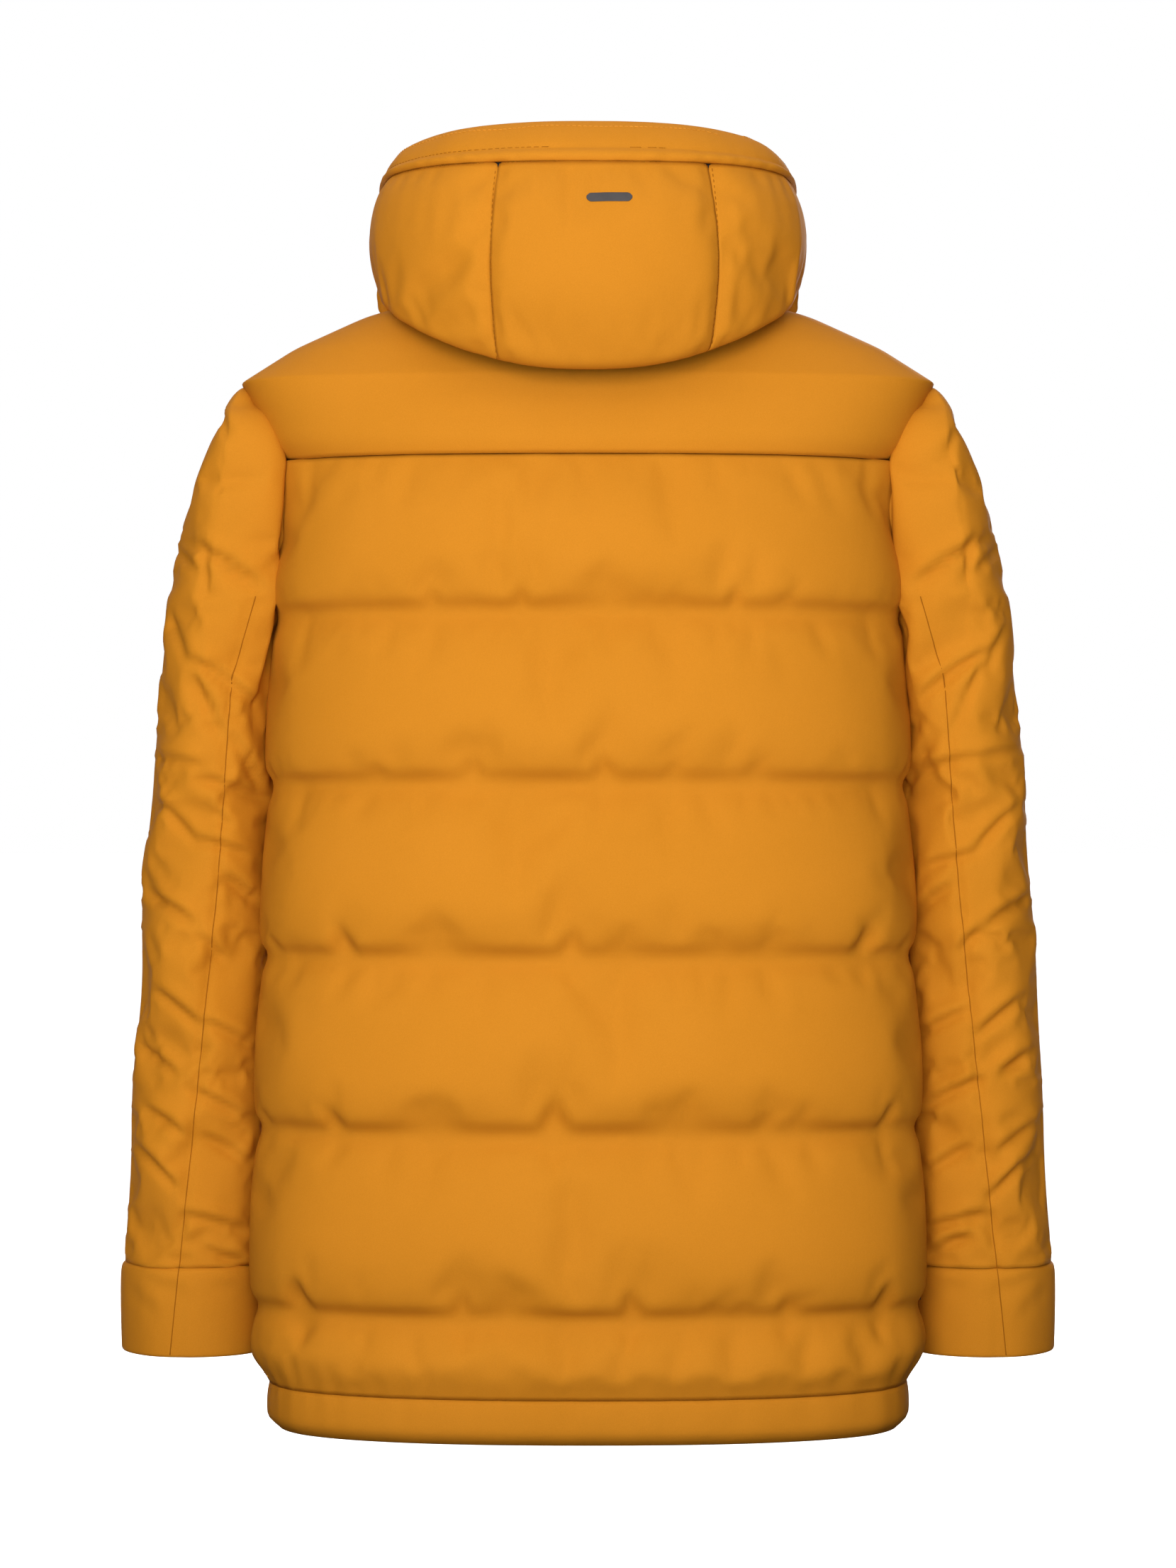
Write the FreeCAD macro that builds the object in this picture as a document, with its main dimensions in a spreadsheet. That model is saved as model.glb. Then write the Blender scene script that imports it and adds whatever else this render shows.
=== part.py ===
"""Hooded quilted winter jacket, as a parametric assembly in millimetres.

+Z is up, the front faces -Y and the wearer's left is +X. Heights are measured up from the hem, and
every piece is then placed so that the origin is the top of the hanger loop inside the back neck.
Each wall is a sandwich: outer shell, zip tape where there is one, wadding in chambers, lining.
"""

import FreeCAD, Part
import math
import os
import Sketcher
from FreeCAD import Placement, Rotation, Vector

os.makedirs("parts", exist_ok=True)
doc = FreeCAD.newDocument("hooded_jacket")
sheet = doc.addObject("Spreadsheet::Sheet", "Dimensions")

# ---------------------------------------------------------------- driving dimensions

SIZES = {
    # layers, measured inwards from the outer face of the shell
    "shell_thickness": 2.0,
    "tape_depth": 2.8,
    "tape_thickness": 0.8,
    "fill_depth": 4.0,
    "body_fill_end": 17.0,
    "body_wall": 19.0,
    "sleeve_fill_end": 11.0,
    "sleeve_wall": 13.0,
    "hood_fill_end": 7.0,
    "hood_wall": 9.0,
    "collar_fill_end": 11.0,
    "collar_wall": 13.0,
    "layer_gap": 0.4,
    "seam_gap": 6.0,
    "fill_clear": 2.0,
    "skin": 0.1,
    # body
    "squareness": 2.4,
    "widest_line": 20.0,
    "hem_front": 141.0,
    "front_lean": 0.0506,
    "hem_band_height": 34.0,
    "hem_elastic_low": 8.0,
    "hem_elastic_high": 28.0,
    "yoke_seam": 657.0,
    "neck_height": 770.0,
    "collar_top": 845.0,
    "side_seam": 12.0,
    "front_gap": 7.0,
    "fill_front_gap": 24.0,
    "front_gap_depth": 60.0,
    # armholes
    "armhole_height": 628.0,
    "armhole_rise": 48.0,
    "armhole_depth": 42.0,
    "armhole_centre": 5.0,
    "armhole_cut_start": 150.0,
    "armhole_cut_end": 260.0,
    "sleeve_cut_start": 180.0,
    "sleeve_cut_end": 246.0,
    # sleeves
    "sleeve_squareness": 2.2,
    "sleeve_head_drop": 1.4,
    "elbow_height": 380.0,
    "elbow_pivot": 40.0,
    "elbow_notch": 24.0,
    "cuff_top": 105.0,
    "cuff_bottom": 40.0,
    "cuff_wall": 3.0,
    "rib_low": 50.0,
    "rib_high": 98.0,
    "rib_depth": 7.0,
    "rib_wall": 10.0,
    # hood
    "hood_front": 60.0,
    "hood_front_depth": 200.0,
    "hood_seam_left": 63.0,
    "hood_seam_right": 84.0,
    "hood_bottom": 768.0,
    "hood_bottom_radius": 205.0,
    "hood_rim": 860.0,
    "hood_rim_slope": 0.12,
    "hood_brim_width": 18.0,
    "hood_elastic_low": 6.0,
    "hood_elastic_high": 12.0,
    "mark_x": 14.0,
    "mark_height": 822.0,
    "mark_length": 30.0,
    "mark_width": 6.0,
    "mark_back": 0.3,
    "mark_face": 0.9,
    "eyelet_ring": 3.6,
    "eyelet_wire": 1.0,
    "eyelet_stand": 1.6,
    "eyelet_y": 46.0,
    "eyelet_height": 838.0,
    # hanger loop
    "loop_radius": 18.0,
    "loop_cord": 1.6,
    "loop_height": 775.0,
    "loop_y": 54.5,
    # zips
    "front_zip_bottom": 6.0,
    "front_zip_top": 842.0,
    "pocket_x": 150.0,
    "pocket_bottom": 105.0,
    "pocket_top": 262.0,
    "pocket_slot": 6.5,
    "pocket_slot_reach": 20.0,
    "chain_width": 2.6,
    "chain_thickness": 2.4,
    "chain_split": 0.1,
    "tape_inner": 1.0,
    "tape_half_width": 12.0,
    "tape_slit": 0.8,
    "tape_end": 8.0,
    "slider_width": 9.2,
    "slider_length": 12.0,
    "slider_plate": 1.7,
    "slider_clearance": 0.6,
    "flange_inner": 3.4,
    "lug_inner": 1.9,
    "lug_outer": 2.9,
    "lug_length": 4.0,
    "lug_rise": 3.8,
    "pin_radius": 0.8,
    "pin_rise": 2.1,
    "pull_bore": 0.87,
    "pull_boss": 1.8,
    "pull_boss_length": 3.4,
    "pull_neck": 3.2,
    "pull_neck_length": 9.0,
    "pull_width": 8.0,
    "pull_length": 32.0,
    "pull_thickness": 1.6,
    "stop_inner": 0.6,
    "stop_outer": 2.2,
    "stop_height": 3.0,
    "foot_half_width": 3.6,
    "foot_stand": 0.6,
    "foot_height": 9.0,
    "bag_depth": 19.6,
    "bag_end": 21.4,
    "bag_inner": 70.0,
    "bag_outer": 176.0,
    "bag_below": 20.0,
    "bag_above": 10.0,
    # side rivet near the hem
    "rivet_radius": 4.0,
    "rivet_thickness": 1.4,
    "rivet_height": 88.0,
}

# closed horizontal outlines: height, half width, depth behind the Y zero line
BODY_SECTIONS = [(0, 222, 126), (34, 224, 129), (82, 226, 131), (204, 224, 133),
                 (321, 220, 134), (437, 216, 134), (551, 213, 133), (657, 214, 127)]
YOKE_SECTIONS = [(657, 214, 127), (690, 226, 118), (712, 236, 108), (735, 200, 93),
                 (757, 152, 78), (770, 105, 72)]
COLLAR_SECTIONS = [(770.4, 105, 72), (808, 101, 69), (845, 97, 64)]
HOOD_SECTIONS = [(690, 136, 130), (735, 143, 150), (764, 147, 157), (808, 150, 153),
                 (845, 148, 140), (885, 142, 120)]
# sleeve outlines: height, inner edge, outer edge, centre line in Y, half depth
SLEEVE_SECTIONS = [(40, 223.5, 327, -45, 58), (105, 223.5, 327, -43, 60), (223, 221.5, 320, -38, 64),
                   (348, 219.5, 313, -32, 68), (467, 217.5, 303, -24, 73), (575, 216, 290, -14, 78),
                   (640, 217, 273, -6, 76), (690, 229, 252, 2, 52), (706, 236, 245, 6, 26)]
BAFFLE_SEAMS = [82, 204, 321, 437, 551]
SLEEVE_SEAMS = [223, 348, 467, 575]

OUTLINE_POINTS = 20
SIDES = {"left": 1, "right": -1}
FAR = 700.0                 # beyond every edge of the jacket
OVERRUN = 1.0               # how far a cutting loft passes the ends of what it hollows
THINNEST = 2.0              # a sleeve outline narrower than this is left out of its loft
SMALLEST = 1.0              # slivers of less than this volume are dropped


def write_sheet():
    """Fills the sheet: one named cell per size, and one per number of each section table."""
    tables = {"body": BODY_SECTIONS, "yoke": YOKE_SECTIONS, "collar": COLLAR_SECTIONS,
              "hood": HOOD_SECTIONS, "sleeve": SLEEVE_SECTIONS}
    cells = dict(SIZES)
    for table, rows in tables.items():
        for number, row in enumerate(rows):
            for column, value in enumerate(row):
                cells["%s_section_%d_%d" % (table, number, column)] = value
    for line, (alias, value) in enumerate(cells.items(), start=1):
        sheet.set("A%d" % line, alias)
        sheet.set("B%d" % line, str(float(value)))
        sheet.setAlias("B%d" % line, alias)
    doc.recompute()


def size(alias):
    """A driving dimension read back from the sheet."""
    return float(sheet.get(alias))


def sections(table, count):
    """The rows of a section table, read back from the sheet."""
    columns = 5 if table == "sleeve" else 3
    return [[size("%s_section_%d_%d" % (table, row, column)) for column in range(columns)]
            for row in range(count)]


write_sheet()
HANGER_HEIGHT = size("loop_height") + size("loop_radius") - size("loop_cord")
TO_ORIGIN = Placement(Vector(0, -size("loop_y"), -HANGER_HEIGHT), Rotation())
nodes = []


# ---------------------------------------------------------------- outlines and lofts

def front_y(height):
    """The straight centre-front line, which the front zip follows."""
    return -size("hem_front") + size("front_lean") * height


def signed_power(value, power):
    return math.copysign(abs(value) ** power, value)


def outline(height, centre_x, half_width, wide_y, front_depth, back_depth, squareness):
    """Closed superellipse whose front and back halves have their own depths."""
    points = []
    for step in range(OUTLINE_POINTS):
        angle = 2 * math.pi * step / OUTLINE_POINTS
        across = signed_power(math.cos(angle), 2 / squareness)
        along = signed_power(math.sin(angle), 2 / squareness)
        depth = back_depth if along > 0 else front_depth
        points.append(Vector(centre_x + half_width * across, wide_y + depth * along, height))
    curve = Part.BSplineCurve()
    curve.interpolate(Points=points, PeriodicFlag=True)
    return Part.Wire(curve.toShape())


def stretch_ends(rows, reach):
    """Moves the first and last height outwards, so that a cutting loft passes the outer one."""
    rows = [list(row) for row in rows]
    rows[0][0] -= reach
    rows[-1][0] += reach
    return rows


def trunk_loft(rows, inset, wide_y, lower_top=0.0):
    """Loft through body, yoke or collar outlines, set in by inset all round. Short ones are ruled."""
    squareness = size("squareness")
    ruled = rows[0][0] > size("armhole_height")
    wires = []
    for number, (height, half_width, back) in enumerate(rows):
        drop = lower_top if number > 0 else 0.0
        wires.append(outline(height - drop, 0, half_width - inset, wide_y,
                             wide_y - front_y(height) - inset, back - wide_y - inset, squareness))
    return Part.makeLoft(wires, True, ruled)


def trunk_wall(table, count, outer, inner, sloping=False):
    """The wall between two insets of the body, yoke or collar. A sloping wall is also lowered by them."""
    rows = sections(table, count)
    wide_y = size("widest_line")
    solid = trunk_loft(rows, outer, wide_y, lower_top=outer if sloping else 0.0)
    hollow = stretch_ends(rows, OVERRUN)
    if sloping:
        hollow[-1][0] = rows[-1][0]
        hollow.append([rows[-1][0] + inner + OVERRUN] + rows[-1][1:])
    return solid.cut(trunk_loft(hollow, inner, wide_y, lower_top=inner if sloping else 0.0))


def body_wall(outer, inner):
    return trunk_wall("body", len(BODY_SECTIONS), outer, inner)


def yoke_wall(outer, inner):
    return trunk_wall("yoke", len(YOKE_SECTIONS), outer, inner, sloping=True)


def collar_wall(outer, inner):
    return trunk_wall("collar", len(COLLAR_SECTIONS), outer, inner)


def hood_loft(inset, reach=0.0):
    squareness = size("squareness")
    wires = [outline(height, 0, half_width - inset, 0, size("hood_front_depth"), back - inset, squareness)
             for height, half_width, back in stretch_ends(sections("hood", len(HOOD_SECTIONS)), reach)]
    return Part.makeLoft(wires, True, False)


def sleeve_loft(inset, reach=0.0):
    """Loft of the left sleeve. Near the shoulder an inset lowers the outlines as well."""
    squareness = size("sleeve_squareness")
    rows = sections("sleeve", len(SLEEVE_SECTIONS))
    wires = []
    for number, (height, inner, outer, centre_y, half_depth) in enumerate(rows):
        half_width = (outer - inner) / 2 - inset
        if half_width < THINNEST:
            continue
        drop = size("sleeve_head_drop") * inset if height > size("armhole_height") else 0.0
        low = reach if number == 0 else 0.0
        wires.append(outline(height - drop - low, (inner + outer) / 2, half_width, centre_y,
                             half_depth - inset, half_depth - inset, squareness))
    return Part.makeLoft(wires, True, False)


def sleeve_wall(outer, inner):
    return sleeve_loft(outer).cut(sleeve_loft(inner, OVERRUN))


# ---------------------------------------------------------------- cutting shapes

def box(x0, x1, y0, y1, z0, z1):
    return Part.makeBox(x1 - x0, y1 - y0, z1 - z0, Vector(x0, y0, z0))


def between(z0, z1):
    return box(-FAR, FAR, -FAR, FAR, z0, z1)


def tilted_slab(height, slope, thickness):
    """A slab whose lower face passes through Y zero at this height and rises by slope towards the back."""
    slab = box(-FAR, FAR, -FAR, FAR, 0, thickness)
    slab.rotate(Vector(0, 0, 0), Vector(1, 0, 0), math.degrees(math.atan(slope)))
    slab.translate(Vector(0, 0, height))
    return slab


def centre_front(half_width):
    return box(-half_width, half_width, -FAR, -size("front_gap_depth"), -FAR, FAR * 2)


def side_box(side, start):
    """Everything in front of the side seam on one side of the centre front."""
    low, high = (start, FAR) if side > 0 else (-FAR, -start)
    return box(low, high, -FAR, size("side_seam"), -FAR, FAR * 2)


def armhole(side, x0, x1, spare=0.0):
    """Upright oval hole through the side wall, for an arm."""
    hole = Part.Ellipse(Vector(0, 0, 0), size("armhole_rise") + spare, size("armhole_depth") + spare)
    face = Part.Face(Part.Wire(hole.toShape()))
    solid = face.extrude(Vector(0, 0, x1 - x0))
    solid.rotate(Vector(0, 0, 0), Vector(0, 1, 0), 90)
    solid.translate(Vector(x0, size("armhole_centre"), size("armhole_height")))
    return solid if side > 0 else solid.mirror(Vector(0, 0, 0), Vector(1, 0, 0))


def both_armholes(spare=0.0):
    return [armhole(side, size("armhole_cut_start"), size("armhole_cut_end"), spare)
            for side in SIDES.values()]


# ---------------------------------------------------------------- document objects

def solids_only(shape):
    """A plain solid, or a compound of solids where a node holds several."""
    found = [solid for solid in shape.Solids if solid.Volume > SMALLEST]
    return found[0] if len(found) == 1 else Part.makeCompound(found)


def add_feature(name, shape, placement=None):
    """A Part::Feature with its own label and place."""
    feature = doc.addObject("Part::Feature", name)
    feature.Label = name
    feature.Shape = solids_only(shape)
    feature.Placement = TO_ORIGIN.multiply(placement) if placement else TO_ORIGIN
    nodes.append(feature)
    return feature


def bind(feature, **expressions):
    """Binds properties of a feature to sheet expressions."""
    for prop, expression in expressions.items():
        feature.setExpression(prop, expression)
    return feature


def cell(expression):
    """Puts the sheet's name in front of each cell named in braces."""
    return expression.replace("{", "Dimensions.").replace("}", "")


# ---------------------------------------------------------------- body panels

def make_body_shells():
    shell = size("shell_thickness")
    body = body_wall(0, shell).common(between(size("hem_band_height"), size("yoke_seam")))
    for hole in both_armholes():
        body = body.cut(hole)
    for side in SIDES.values():
        body = body.cut(pocket_slot(side))
    add_feature("back_panel_shell", body.common(box(-FAR, FAR, size("side_seam"), FAR, 0, FAR * 2)))
    for name, side in SIDES.items():
        add_feature("front_%s_shell" % name, body.common(side_box(side, size("front_gap"))))
    yoke = yoke_wall(0, shell)
    for hole in both_armholes():
        yoke = yoke.cut(hole)
    yoke = yoke.common(between(size("yoke_seam"), FAR * 2)).cut(centre_front(size("front_gap")))
    add_feature("yoke_shell", yoke)


def chambers(wall, seams):
    """Cuts a wall into the filled chambers between its seams."""
    half = size("seam_gap") / 2
    pieces = [wall.common(between(low + half, high - half)) for low, high in zip(seams, seams[1:])]
    return Part.makeCompound([solid for piece in pieces for solid in piece.Solids])


def make_body_fill():
    wall = body_wall(size("fill_depth"), size("body_fill_end"))
    for hole in both_armholes(size("seam_gap") / 2):
        wall = wall.cut(hole)
    seams = [size("hem_band_height")] + BAFFLE_SEAMS + [size("yoke_seam")]
    back = wall.common(box(-FAR, FAR, size("side_seam") + size("fill_clear"), FAR, 0, FAR))
    add_feature("back_fill", chambers(back, seams))
    for name, side in SIDES.items():
        half = wall.common(side_box(side, size("fill_front_gap")))
        half = half.common(box(-FAR, FAR, -FAR, size("side_seam") - size("fill_clear"), 0, FAR))
        add_feature("front_%s_fill" % name, chambers(half, seams))
    yoke = yoke_wall(size("fill_depth"), size("body_fill_end"))
    for hole in both_armholes(size("seam_gap") / 2):
        yoke = yoke.cut(hole)
    yoke = yoke.common(between(size("yoke_seam") + size("seam_gap") / 2, FAR * 2))
    add_feature("yoke_fill", yoke.cut(centre_front(size("fill_front_gap"))))


def make_body_lining():
    outer = size("body_fill_end") + size("layer_gap")
    wall = body_wall(outer, size("body_wall"))
    yoke = yoke_wall(outer, size("body_wall"))
    for hole in both_armholes():
        wall = wall.cut(hole)
        yoke = yoke.cut(hole)
    wall = wall.common(between(size("hem_band_height"), size("yoke_seam")))
    add_feature("back_lining", wall.common(box(-FAR, FAR, size("side_seam"), FAR, 0, FAR)))
    for name, side in SIDES.items():
        add_feature("front_%s_lining" % name, wall.common(side_box(side, size("front_gap"))))
    yoke = yoke.common(between(size("yoke_seam"), FAR * 2)).cut(centre_front(size("front_gap")))
    add_feature("yoke_lining", yoke)


def make_hem():
    """The hem is a closed channel round the bottom edge, with an elastic inside."""
    top = size("hem_band_height") - size("layer_gap")
    channel = body_wall(0, size("body_wall")).common(between(0, top))
    hollow = body_wall(size("shell_thickness"), size("body_fill_end"))
    channel = channel.cut(hollow.common(between(size("shell_thickness"), FAR)))
    add_feature("hem_band", channel.cut(centre_front(size("front_gap"))))
    elastic = body_wall(size("fill_depth"), size("fill_depth") + size("shell_thickness"))
    elastic = elastic.common(between(size("hem_elastic_low"), size("hem_elastic_high")))
    add_feature("hem_elastic", elastic.cut(centre_front(size("fill_front_gap"))))


def make_collar():
    gap = centre_front(size("front_gap"))
    add_feature("collar_shell", collar_wall(0, size("shell_thickness")).cut(gap))
    fill = collar_wall(size("fill_depth"), size("collar_fill_end"))
    clear = size("fill_clear")
    fill = fill.common(between(size("neck_height") + clear, size("collar_top") - clear))
    add_feature("collar_fill", fill.cut(centre_front(size("fill_front_gap"))))
    inner = size("collar_fill_end") + size("layer_gap")
    add_feature("collar_lining", collar_wall(inner, size("collar_wall")).cut(gap))


def make_hanger_loop():
    """Half ring of cord above the back neck seam, inside the collar."""
    loop = doc.addObject("Part::Torus", "hanger_loop")
    bind(loop, Radius1=cell("{loop_radius}"), Radius2=cell("{loop_cord}"))
    loop.Angle3 = 180
    loop.Label = "hanger_loop"
    upright = Rotation(Vector(1, 0, 0), 90)
    loop.Placement = TO_ORIGIN.multiply(Placement(Vector(0, size("loop_y"), size("loop_height")), upright))
    nodes.append(loop)


def make_side_rivet():
    """Small metal rivet at the foot of the right side seam."""
    rivet = doc.addObject("Part::Cylinder", "side_rivet")
    bind(rivet, Radius=cell("{rivet_radius}"), Height=cell("{rivet_thickness}"))
    rivet.Label = "side_rivet"
    reach = size("body_section_2_1") + size("rivet_thickness") + 2 * size("layer_gap")
    place = Vector(-reach, size("widest_line"), size("rivet_height"))
    rivet.Placement = TO_ORIGIN.multiply(Placement(place, Rotation(Vector(0, 1, 0), 90)))
    nodes.append(rivet)


# ---------------------------------------------------------------- sleeves

def elbow_cut(upper):
    """The half space that an upper or lower sleeve keeps at the elbow, with half of the notch in front."""
    height = size("elbow_height")
    half_gap = size("layer_gap") / 2
    keep = between(height + half_gap, FAR * 2) if upper else between(-FAR, height - half_gap)
    sign = 1 if upper else -1
    wedge = box(-FAR, FAR, -FAR, 0, 0, FAR) if upper else box(-FAR, FAR, -FAR, 0, -FAR, 0)
    tilted = wedge.copy()
    tilted.rotate(Vector(0, 0, 0), Vector(1, 0, 0), -sign * size("elbow_notch"))
    notch = wedge.cut(tilted)
    notch.translate(Vector(0, -size("elbow_pivot"), height))
    return keep.cut(notch)


def make_sleeves():
    shell = sleeve_wall(0, size("shell_thickness"))
    fill = sleeve_wall(size("fill_depth"), size("sleeve_fill_end"))
    lining = sleeve_wall(size("sleeve_fill_end") + size("layer_gap"), size("sleeve_wall"))
    cuff = sleeve_wall(0, size("cuff_wall"))
    rib = sleeve_wall(size("rib_depth"), size("rib_wall"))
    start, end = size("sleeve_cut_start"), size("sleeve_cut_end")
    hole = armhole(1, start, end)
    wide_hole = armhole(1, start, end + size("fill_depth"), size("seam_gap") / 2)
    upper, lower = elbow_cut(True), elbow_cut(False)
    above_cuff = between(size("cuff_top") + size("layer_gap"), FAR * 2)
    elbow_seam = size("elbow_height") + size("fill_clear")
    upper_seams = [elbow_seam] + SLEEVE_SEAMS[2:] + [FAR]
    lower_seams = [size("cuff_top")] + SLEEVE_SEAMS[:2] + [elbow_seam]
    left = {
        "upper_sleeve_shell": shell.common(upper).cut(hole),
        "upper_sleeve_fill": chambers(fill.common(upper).cut(wide_hole), upper_seams),
        "upper_sleeve_lining": lining.common(upper).cut(hole),
        "lower_sleeve_shell": shell.common(lower).common(above_cuff),
        "lower_sleeve_fill": chambers(fill.common(lower), lower_seams),
        "lower_sleeve_lining": lining.common(lower).common(above_cuff),
        "cuff": cuff.common(between(size("cuff_bottom"), size("cuff_top"))),
        "rib_cuff": rib.common(between(size("rib_low"), size("rib_high"))),
    }
    for name, shape in left.items():
        add_feature("left_" + name, shape)
        add_feature("right_" + name, shape.mirror(Vector(0, 0, 0), Vector(1, 0, 0)))


# ---------------------------------------------------------------- hood

def below_hood(rise=0.0):
    """The space under the lowered hood: level in front, and falling away in an arc towards the back."""
    radius = size("hood_bottom_radius")
    top = size("hood_bottom") + rise
    arc = Part.makeCylinder(radius, 2 * FAR, Vector(-FAR, 0, top - radius), Vector(1, 0, 0))
    return arc.fuse(box(-FAR, FAR, -FAR, 0, 0, top))


def hood_wall(outer, inner, rise=0.0):
    """The wall of the lowered hood: a U open to the front, between the bottom fold and the rim."""
    wall = hood_loft(outer).cut(hood_loft(inner, OVERRUN))
    wall = wall.cut(box(-FAR, FAR, -FAR, -size("hood_front"), -FAR, FAR * 2))
    wall = wall.cut(below_hood(rise))
    return wall.cut(tilted_slab(size("hood_rim"), size("hood_rim_slope"), FAR))


def make_hood():
    gap = size("layer_gap")
    brim_low = size("hood_rim") - size("hood_brim_width")
    brim_slab = tilted_slab(brim_low, size("hood_rim_slope"), FAR)
    shell = hood_wall(0, size("shell_thickness"))
    below = shell.cut(tilted_slab(brim_low - gap, size("hood_rim_slope"), FAR))
    left, right = size("hood_seam_left"), size("hood_seam_right")
    add_feature("hood_centre_panel", below.common(box(-right, left, 0, FAR, 0, FAR * 2)))
    add_feature("hood_left_panel", below.common(box(left + gap, FAR, -FAR, FAR, 0, FAR * 2)))
    add_feature("hood_right_panel", below.common(box(-FAR, -right - gap, -FAR, FAR, 0, FAR * 2)))
    add_feature("hood_brim", shell.common(brim_slab))
    clear = size("seam_gap") / 2
    fill = hood_wall(size("fill_depth"), size("hood_fill_end"), clear)
    fill = fill.cut(box(-FAR, FAR, -FAR, -size("hood_front") + clear, -FAR, FAR * 2))
    add_feature("hood_fill", fill.cut(tilted_slab(brim_low - clear, size("hood_rim_slope"), FAR)))
    add_feature("hood_lining", hood_wall(size("hood_fill_end") + gap, size("hood_wall")))
    elastic = hood_wall(size("fill_depth"), size("fill_depth") + size("shell_thickness"))
    elastic = elastic.common(tilted_slab(brim_low + size("hood_elastic_low"), size("hood_rim_slope"),
                                         size("hood_elastic_high") - size("hood_elastic_low")))
    add_feature("hood_elastic", elastic)
    mark = hood_loft(-size("mark_face")).cut(hood_loft(-size("mark_back"), OVERRUN))
    half_long, half_wide = size("mark_length") / 2, size("mark_width") / 2
    add_feature("hood_mark", mark.common(box(
        -size("mark_x") - half_long, -size("mark_x") + half_long, 0, FAR,
        size("mark_height") - half_wide, size("mark_height") + half_wide)))


def hood_side_x(y, height):
    """Outer face of the hood's side at a point, between the two nearest outlines."""
    rows = sections("hood", len(HOOD_SECTIONS))
    for low, high in zip(rows, rows[1:]):
        if low[0] <= height <= high[0]:
            part = (height - low[0]) / (high[0] - low[0])
            half_width = low[1] + part * (high[1] - low[1])
            power = size("squareness")
            return half_width * (1 - (abs(y) / size("hood_front_depth")) ** power) ** (1 / power)


def make_hood_eyelets():
    """A metal ring on each side of the hood's front edge, where the elastic could be reached."""
    rings = []
    for side in (1, -1):
        ring = Part.makeTorus(size("eyelet_ring"), size("eyelet_wire"))
        ring.rotate(Vector(0, 0, 0), Vector(0, 1, 0), 90)
        reach = hood_side_x(size("eyelet_y"), size("eyelet_height"))
        reach += size("eyelet_wire") + size("eyelet_stand")
        ring.translate(Vector(side * reach, -size("eyelet_y"), size("eyelet_height")))
        rings.append(ring)
    add_feature("hood_eyelets", Part.makeCompound(rings))


# ---------------------------------------------------------------- zips

def front_zip_frame():
    """Local Z runs up the centre front, local Y points into the jacket."""
    start = Vector(0, front_y(size("front_zip_bottom")), size("front_zip_bottom"))
    return Placement(start, Rotation(Vector(1, 0, 0), -math.degrees(math.atan(size("front_lean")))))


def front_zip_length():
    rise = size("front_zip_top") - size("front_zip_bottom")
    return rise * math.hypot(1, size("front_lean"))


def front_surface(x, height):
    """Point and outward direction in plan of the front's outer face at this distance from the centre."""
    rows = sections("body", len(BODY_SECTIONS))
    power = size("squareness")
    for low, high in zip(rows, rows[1:]):
        if low[0] <= height <= high[0]:
            part = (height - low[0]) / (high[0] - low[0])
            half_width = low[1] + part * (high[1] - low[1])
    depth = size("widest_line") - front_y(height)
    share = (1 - (x / half_width) ** power) ** (1 / power)
    slope_x = (x / half_width) ** (power - 1) / half_width
    slope_y = share ** (power - 1) / depth
    return Vector(x, size("widest_line") - depth * share, height), math.atan2(slope_x, slope_y)


def pocket_zip_frame(side):
    """Local Z runs up the pocket mouth, local Y points into the jacket."""
    low, turn = front_surface(size("pocket_x"), size("pocket_bottom"))
    high, _ = front_surface(size("pocket_x"), size("pocket_top"))
    axis = high.sub(low)
    lean = Rotation(Vector(0, 0, 1), axis)
    frame = Placement(low, lean.multiply(Rotation(Vector(0, 0, 1), math.degrees(turn))))
    if side > 0:
        return frame
    low.x = -low.x
    axis.x = -axis.x
    lean = Rotation(Vector(0, 0, 1), axis)
    return Placement(low, lean.multiply(Rotation(Vector(0, 0, 1), -math.degrees(turn))))


def pocket_zip_length():
    low, _ = front_surface(size("pocket_x"), size("pocket_bottom"))
    high, _ = front_surface(size("pocket_x"), size("pocket_top"))
    return high.sub(low).Length


def pocket_slot(side):
    half, spare = size("pocket_slot"), size("slider_length") / 2
    depth = size("fill_depth") - size("skin")
    slot = box(-half, half, -size("pocket_slot_reach"), depth, -spare, pocket_zip_length() + spare)
    slot.Placement = pocket_zip_frame(side)
    return slot


def zip_chain(length):
    """The two closed halves of a coil chain, straight along the zip's local Z."""
    inner, outer = size("chain_split"), size("chain_split") + size("chain_width")
    halves = [box(low, high, 0, size("chain_thickness"), 0, length)
              for low, high in ((inner, outer), (-outer, -inner))]
    return Part.makeCompound(halves)


def make_front_zip():
    frame, length = front_zip_frame(), front_zip_length()
    stop = size("stop_height")
    add_feature("front_zip_chain", zip_chain(length - stop), frame)
    for name, side in SIDES.items():
        edges = sorted((side * size("tape_inner"), side * size("tape_half_width")))
        back = size("tape_depth") + size("tape_thickness")
        tape = box(edges[0], edges[1], size("tape_depth"), back, 0, length)
        add_feature("front_zip_tape_" + name, tape, frame)
    depth, gap = size("chain_thickness"), size("layer_gap")
    inner, outer = size("stop_inner"), size("stop_outer")
    stops = [box(low, high, 0, depth, length - stop + gap, length)
             for low, high in ((inner, outer), (-outer, -inner))]
    half = size("foot_half_width")
    foot = box(-half, half, -size("foot_stand"), depth, -size("foot_height"), -gap)
    add_feature("front_zip_end_stops", Part.makeCompound(stops + [foot]), frame)
    make_slider("front_zip", frame, length - size("slider_length") - stop)


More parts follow.
